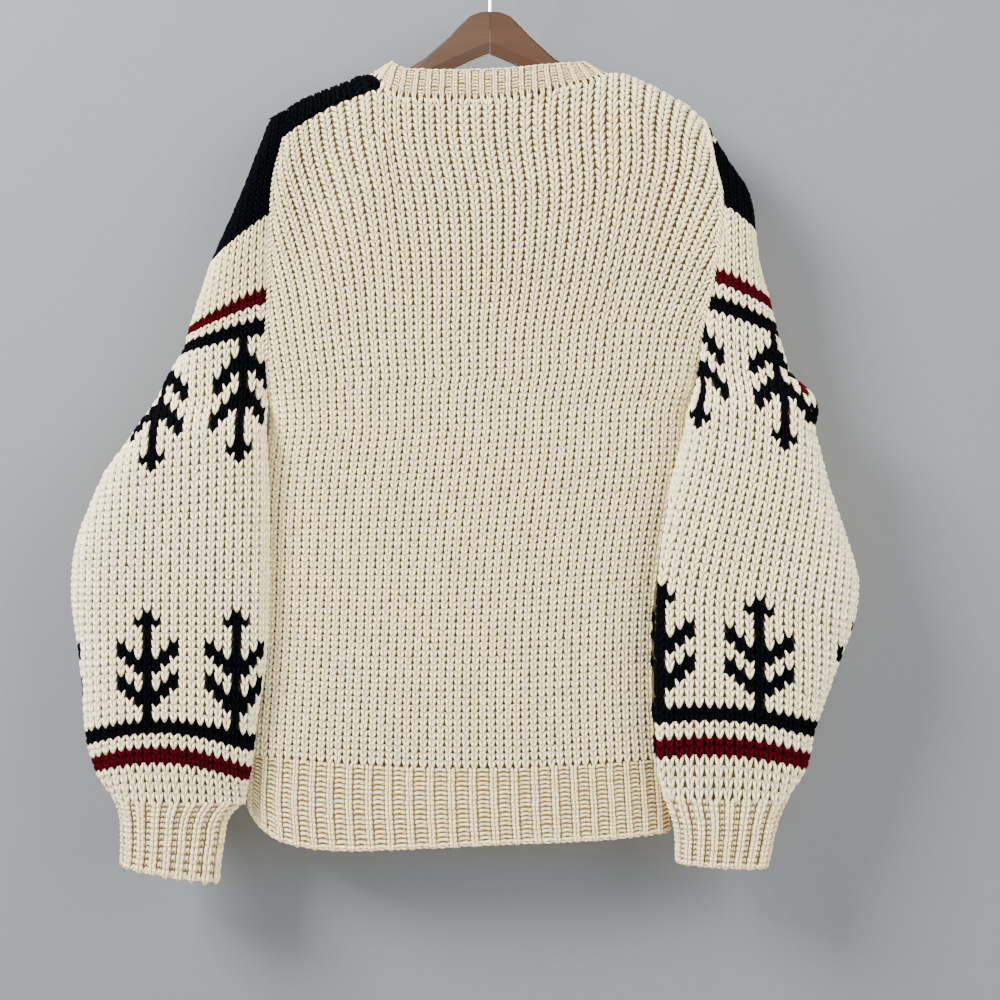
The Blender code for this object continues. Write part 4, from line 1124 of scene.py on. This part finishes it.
def cuff_line(side):
    swing = sleeve_middle(side, -800)

    def line(share, down, lift):
        outer_x, outer_z, inner_x, inner_z, depth = (
            smooth([(k, row[c]) for k, row in zip(CUFF_KNOTS, CUFF[side])], down) for c in range(5)
        )
        middle = Vector(((outer_x + inner_x) / 2, (outer_z + inner_z) / 2))
        half = Vector((outer_x, outer_z)) - middle
        angle = math.pi * (1 - 2 * share)
        place = middle + half.normalized() * (half.length + lift) * power(math.cos(angle), 2 / ROUNDNESS)
        return Vector((place.x, swing - (depth + lift) * power(math.sin(angle), 2 / ROUNDNESS), place.y))

    return line


def build_cuffs(context):
    for side, name in ((-1, "cuff_left"), (1, "cuff_right")):
        line = cuff_line(side)
        edge = [line(i / EDGE_POINTS, 0.985, -1.0) for i in range(EDGE_POINTS + 1)]
        middle = sum(edge[:-1], Vector()) / EDGE_POINTS
        outs = [(p.x - middle.x, (p.y - middle.y) * 3, -8.0) for p in edge]
        chain = edge_chain(edge, outs, 5.5, 6.0)
        build_ribbing(
            context, name, name, evened(line), CUFF_ROWS, CUFF_RIBS, CUFF_KNIT,
            -side, side < 0, chain, 60,
        )  # fmt: skip


def band_line():
    loop = neck_loop()
    loop = loop + loop[:1]
    lengths = run_lengths(np.array([tuple(entry[0]) for entry in loop]))
    places = lengths / lengths[-1]

    def line(share, down, lift):
        share = share % 1.0
        i = min(int(np.searchsorted(places, share, side="right")) - 1, len(loop) - 2)
        t = (share - places[i]) / (places[i + 1] - places[i])
        seam, out, rise, gap = (a.lerp(b, t) for a, b in zip(loop[i], loop[i + 1]))
        bow = 1.0 - 1.4 * abs(2 * (1 - down) - 1) ** 3
        return seam + gap + rise * (1 - down) + out.normalized() * (bow + lift)

    return line


def band_cells(line, corners, first):
    """A cell at each half rib of the neckband, from corners of (share of a half rib, share down, lift)."""
    count = 2 * BAND_RIBS
    return np.array([[tuple(line((i + x) / count, *rest)) for x, *rest in corners] for i in range(first, count)])


def build_neckband(context):
    rib = palette(context.scene)["rib"]
    line = band_line()
    edge = [line(i / 240, 0.02, -1.2) for i in range(241)]
    outs = [tuple(line(i / 240, 0.0, 0.0) - line(i / 240, 0.5, 0.0)) for i in range(241)]
    chain = edge_chain(edge, outs, 5.5, 6.2)
    line = evened(line)
    ridges = band_cells(line, ((0.14, 1.16, 2.2), (0.86, 1.16, 2.2), (0.86, 0.9, 1.2), (0.14, 0.9, 1.2)), 0)
    wool = yarn_material("wool_rib")
    ridge = knit("neckband_seam", ridges, plain(rib * RIDGE_TINT, ridges), "rib", wool, lift=0.3, seed=85)
    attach(ridge, "root")
    # dark patches between the seam's stitches: painted shadow in the holes of the knitting
    gaps = band_cells(line, ((-0.17, 1.06, 1.6), (0.17, 1.06, 1.6), (0.17, 0.92, 1.6), (-0.17, 0.92, 1.6)), 1)
    shade = plain(rib * np.array(HOLE_SHADOW_TINT), gaps)
    painted_holes = knit("neckband_painted_holes", gaps, shade, "purl", backing_material(), lift=1.0, seed=86)
    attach(painted_holes, "root")
    build_ribbing(
        context, "neckband", "neckband", line, BAND_ROWS, BAND_RIBS, BAND_KNIT, -1, False, chain, 80
    )


def build_hanger(context):
    hanger = context.scene.pullover_hanger
    for label, tone, lean in (("left", hanger.light_wood, 0.72), ("right", hanger.dark_wood, -0.72)):
        tone = np.array(tone[:3])
        wood = wood_material(f"beech_{label}", tuple(tone * 0.72), tuple(tone * 1.1), lean)
        for slot in bpy.data.objects[f"hanger_arm_{label}"].material_slots:
            slot.material = wood
    steel = new_material("hook_steel", {"Base Color": (*hanger.steel[:3], 1), "Metallic": 1.0, "Roughness": 0.28})[0]
    for slot in bpy.data.objects["hanger_hook"].material_slots:
        slot.material = steel


def build_stage(context):
    stage = context.scene.pullover_stage
    wall_y = stage.wall_distance
    for name, place, turn in (
        ("stage_wall", (0.0, wall_y, -0.3), (math.pi / 2, 0, 0)),
        ("stage_floor", (0.0, wall_y - STAGE_SIZE / 2, stage.floor_height), (0, 0, 0)),
    ):
        bpy.ops.mesh.primitive_plane_add(size=STAGE_SIZE, location=place, rotation=turn)
        obj = context.object
        obj.name = name
        bpy.ops.object.transform_apply(location=True, rotation=True, scale=True)
        obj.data.materials.append(stage_material(name, stage.backdrop[:3]))
    for name, size, power_w, place, aim in LAMPS:
        light = bpy.data.lights.new(name, "AREA")
        light.size = size
        light.energy = power_w * stage.brightness
        lamp = bpy.data.objects.new(name, light)
        lamp.location = place
        lamp.rotation_euler = (Vector(aim) - Vector(place)).to_track_quat("-Z", "Y").to_euler()
        context.collection.objects.link(lamp)
    world = bpy.data.worlds.new("studio")
    world.use_nodes = True
    world.node_tree.nodes["Background"].inputs["Color"].default_value = SKY
    world.node_tree.nodes["Background"].inputs["Strength"].default_value = SKY_STRENGTH * stage.brightness
    context.scene.world = world
    camera = bpy.data.cameras.new("camera")
    camera.lens = LENS
    camera.sensor_width = SENSOR
    obj = bpy.data.objects.new("camera", camera)
    obj.location = CAMERA_AT
    obj.rotation_euler = (math.pi / 2, 0, 0)
    context.collection.objects.link(obj)
    context.scene.camera = obj


# The add-on ------------------------------------------------------------------------------------------------------


def colour_property(name, value, words):
    return bpy.props.FloatVectorProperty(
        name=name, description=words, default=value, size=3, subtype="COLOR", min=0, max=1
    )


class YarnColours(bpy.types.PropertyGroup):
    """Colours of the pullover's yarns."""

    cream: colour_property("Body cream", (0.88, 0.76, 0.435), "Yarn of the body and the sleeves")
    trim: colour_property("Motif cream", (0.95, 0.84, 0.53), "Yarn between the motifs")
    rib: colour_property("Rib cream", (0.88, 0.725, 0.40), "Yarn of the hem, cuffs and neckband")
    black: colour_property("Black", (0.0014, 0.0016, 0.0026), "Yarn of the yoke, stripes and trees")
    red: colour_property("Red", (0.048, 0.0006, 0.0030), "Yarn of the red stripes")


class HangerLook(bpy.types.PropertyGroup):
    """Colours of the hanger."""

    light_wood: colour_property("Left wood", (0.054, 0.0255, 0.0105), "Wood of the left half")
    dark_wood: colour_property("Right wood", (0.049, 0.0185, 0.006), "Wood of the right half")
    steel: colour_property("Wire", (0.60, 0.60, 0.61), "Wire of the hook")


class StageLook(bpy.types.PropertyGroup):
    """The backdrop and its lights."""

    wall_distance: bpy.props.FloatProperty(
        name="Wall", description="Distance of the wall behind the hook", default=0.06, unit="LENGTH"
    )
    floor_height: bpy.props.FloatProperty(name="Floor", description="Height of the floor", default=-1.15, unit="LENGTH")
    brightness: bpy.props.FloatProperty(
        name="Brightness", description="Strength of all the lights", default=4.6, min=0.0
    )
    backdrop: colour_property("Backdrop", (0.145, 0.15, 0.156), "Colour of the wall and the floor")


class PULLOVER_OT_knit_back(bpy.types.Operator):
    """Knit the back panel and its stitches"""

    bl_idname = "pullover.knit_back"
    bl_label = "Knit the back"
    bl_options = {"REGISTER", "UNDO"}

    def execute(self, context):
        build_panel(context, "back", BACK, BACK_FAN, math.inf, (3, 11, 12), gauge=8.2)
        return {"FINISHED"}


class PULLOVER_OT_knit_front(bpy.types.Operator):
    """Knit the front panel and its yoke"""

    bl_idname = "pullover.knit_front"
    bl_label = "Knit the front"
    bl_options = {"REGISTER", "UNDO"}

    def execute(self, context):
        build_panel(context, "front", FRONT, FRONT_FAN, YOKE_BOTTOM, (4, 13, 14))
        return {"FINISHED"}


class PULLOVER_OT_knit_left_sleeve(bpy.types.Operator):
    """Knit the left sleeve with its motifs"""

    bl_idname = "pullover.knit_left_sleeve"
    bl_label = "Knit the left sleeve"
    bl_options = {"REGISTER", "UNDO"}

    def execute(self, context):
        build_sleeve(context, -1)
        return {"FINISHED"}


class PULLOVER_OT_knit_right_sleeve(bpy.types.Operator):
    """Knit the right sleeve with its motifs"""

    bl_idname = "pullover.knit_right_sleeve"
    bl_label = "Knit the right sleeve"
    bl_options = {"REGISTER", "UNDO"}

    def execute(self, context):
        build_sleeve(context, 1)
        return {"FINISHED"}


class PULLOVER_OT_knit_hems(bpy.types.Operator):
    """Knit the hem's ribbing"""

    bl_idname = "pullover.knit_hems"
    bl_label = "Knit the hem"
    bl_options = {"REGISTER", "UNDO"}

    def execute(self, context):
        build_hems(context)
        return {"FINISHED"}


class PULLOVER_OT_knit_cuffs(bpy.types.Operator):
    """Knit the cuffs' ribbing"""

    bl_idname = "pullover.knit_cuffs"
    bl_label = "Knit the cuffs"
    bl_options = {"REGISTER", "UNDO"}

    def execute(self, context):
        build_cuffs(context)
        return {"FINISHED"}


class PULLOVER_OT_knit_neckband(bpy.types.Operator):
    """Knit the neckband's ribbing"""

    bl_idname = "pullover.knit_neckband"
    bl_label = "Knit the neckband"
    bl_options = {"REGISTER", "UNDO"}

    def execute(self, context):
        build_neckband(context)
        return {"FINISHED"}


class PULLOVER_OT_finish_hanger(bpy.types.Operator):
    """Give the hanger its wood and its wire"""

    bl_idname = "pullover.finish_hanger"
    bl_label = "Finish the hanger"
    bl_options = {"REGISTER", "UNDO"}

    def execute(self, context):
        build_hanger(context)
        return {"FINISHED"}


class PULLOVER_OT_set_stage(bpy.types.Operator):
    """Place the backdrop, lights and camera"""

    bl_idname = "pullover.set_stage"
    bl_label = "Set the stage"
    bl_options = {"REGISTER", "UNDO"}

    def execute(self, context):
        build_stage(context)
        return {"FINISHED"}


OPERATORS = (
    PULLOVER_OT_knit_back,
    PULLOVER_OT_knit_front,
    PULLOVER_OT_knit_left_sleeve,
    PULLOVER_OT_knit_right_sleeve,
    PULLOVER_OT_knit_hems,
    PULLOVER_OT_knit_cuffs,
    PULLOVER_OT_knit_neckband,
    PULLOVER_OT_finish_hanger,
    PULLOVER_OT_set_stage,
)


class PULLOVER_PT_panel(bpy.types.Panel):
    """Buttons for the pullover's pieces."""

    bl_label = "Knitted pullover"
    bl_idname = "PULLOVER_PT_panel"
    bl_space_type = "VIEW_3D"
    bl_region_type = "UI"
    bl_category = "Pullover"

    def draw(self, context):
        for made in OPERATORS:
            self.layout.operator(made.bl_idname)
        for group_name in ("pullover_yarns", "pullover_hanger", "pullover_stage"):
            settings = getattr(context.scene, group_name)
            for key in settings.bl_rna.properties.keys():
                if key not in ("rna_type", "name"):
                    self.layout.prop(settings, key)


CLASSES = (YarnColours, HangerLook, StageLook, *OPERATORS, PULLOVER_PT_panel)


def register():
    for made in CLASSES:
        bpy.utils.register_class(made)
    bpy.types.Scene.pullover_yarns = bpy.props.PointerProperty(type=YarnColours)
    bpy.types.Scene.pullover_hanger = bpy.props.PointerProperty(type=HangerLook)
    bpy.types.Scene.pullover_stage = bpy.props.PointerProperty(type=StageLook)


def unregister():
    for name in ("pullover_yarns", "pullover_hanger", "pullover_stage"):
        delattr(bpy.types.Scene, name)
    for made in reversed(CLASSES):
        bpy.utils.unregister_class(made)


def main():
    register()
    bpy.ops.pullover.knit_back()
    bpy.ops.pullover.knit_front()
    bpy.ops.pullover.knit_left_sleeve()
    bpy.ops.pullover.knit_right_sleeve()
    bpy.ops.pullover.knit_hems()
    bpy.ops.pullover.knit_cuffs()
    bpy.ops.pullover.knit_neckband()
    bpy.ops.pullover.finish_hanger()
    bpy.ops.pullover.set_stage()


if __name__ == "__main__":
    main()
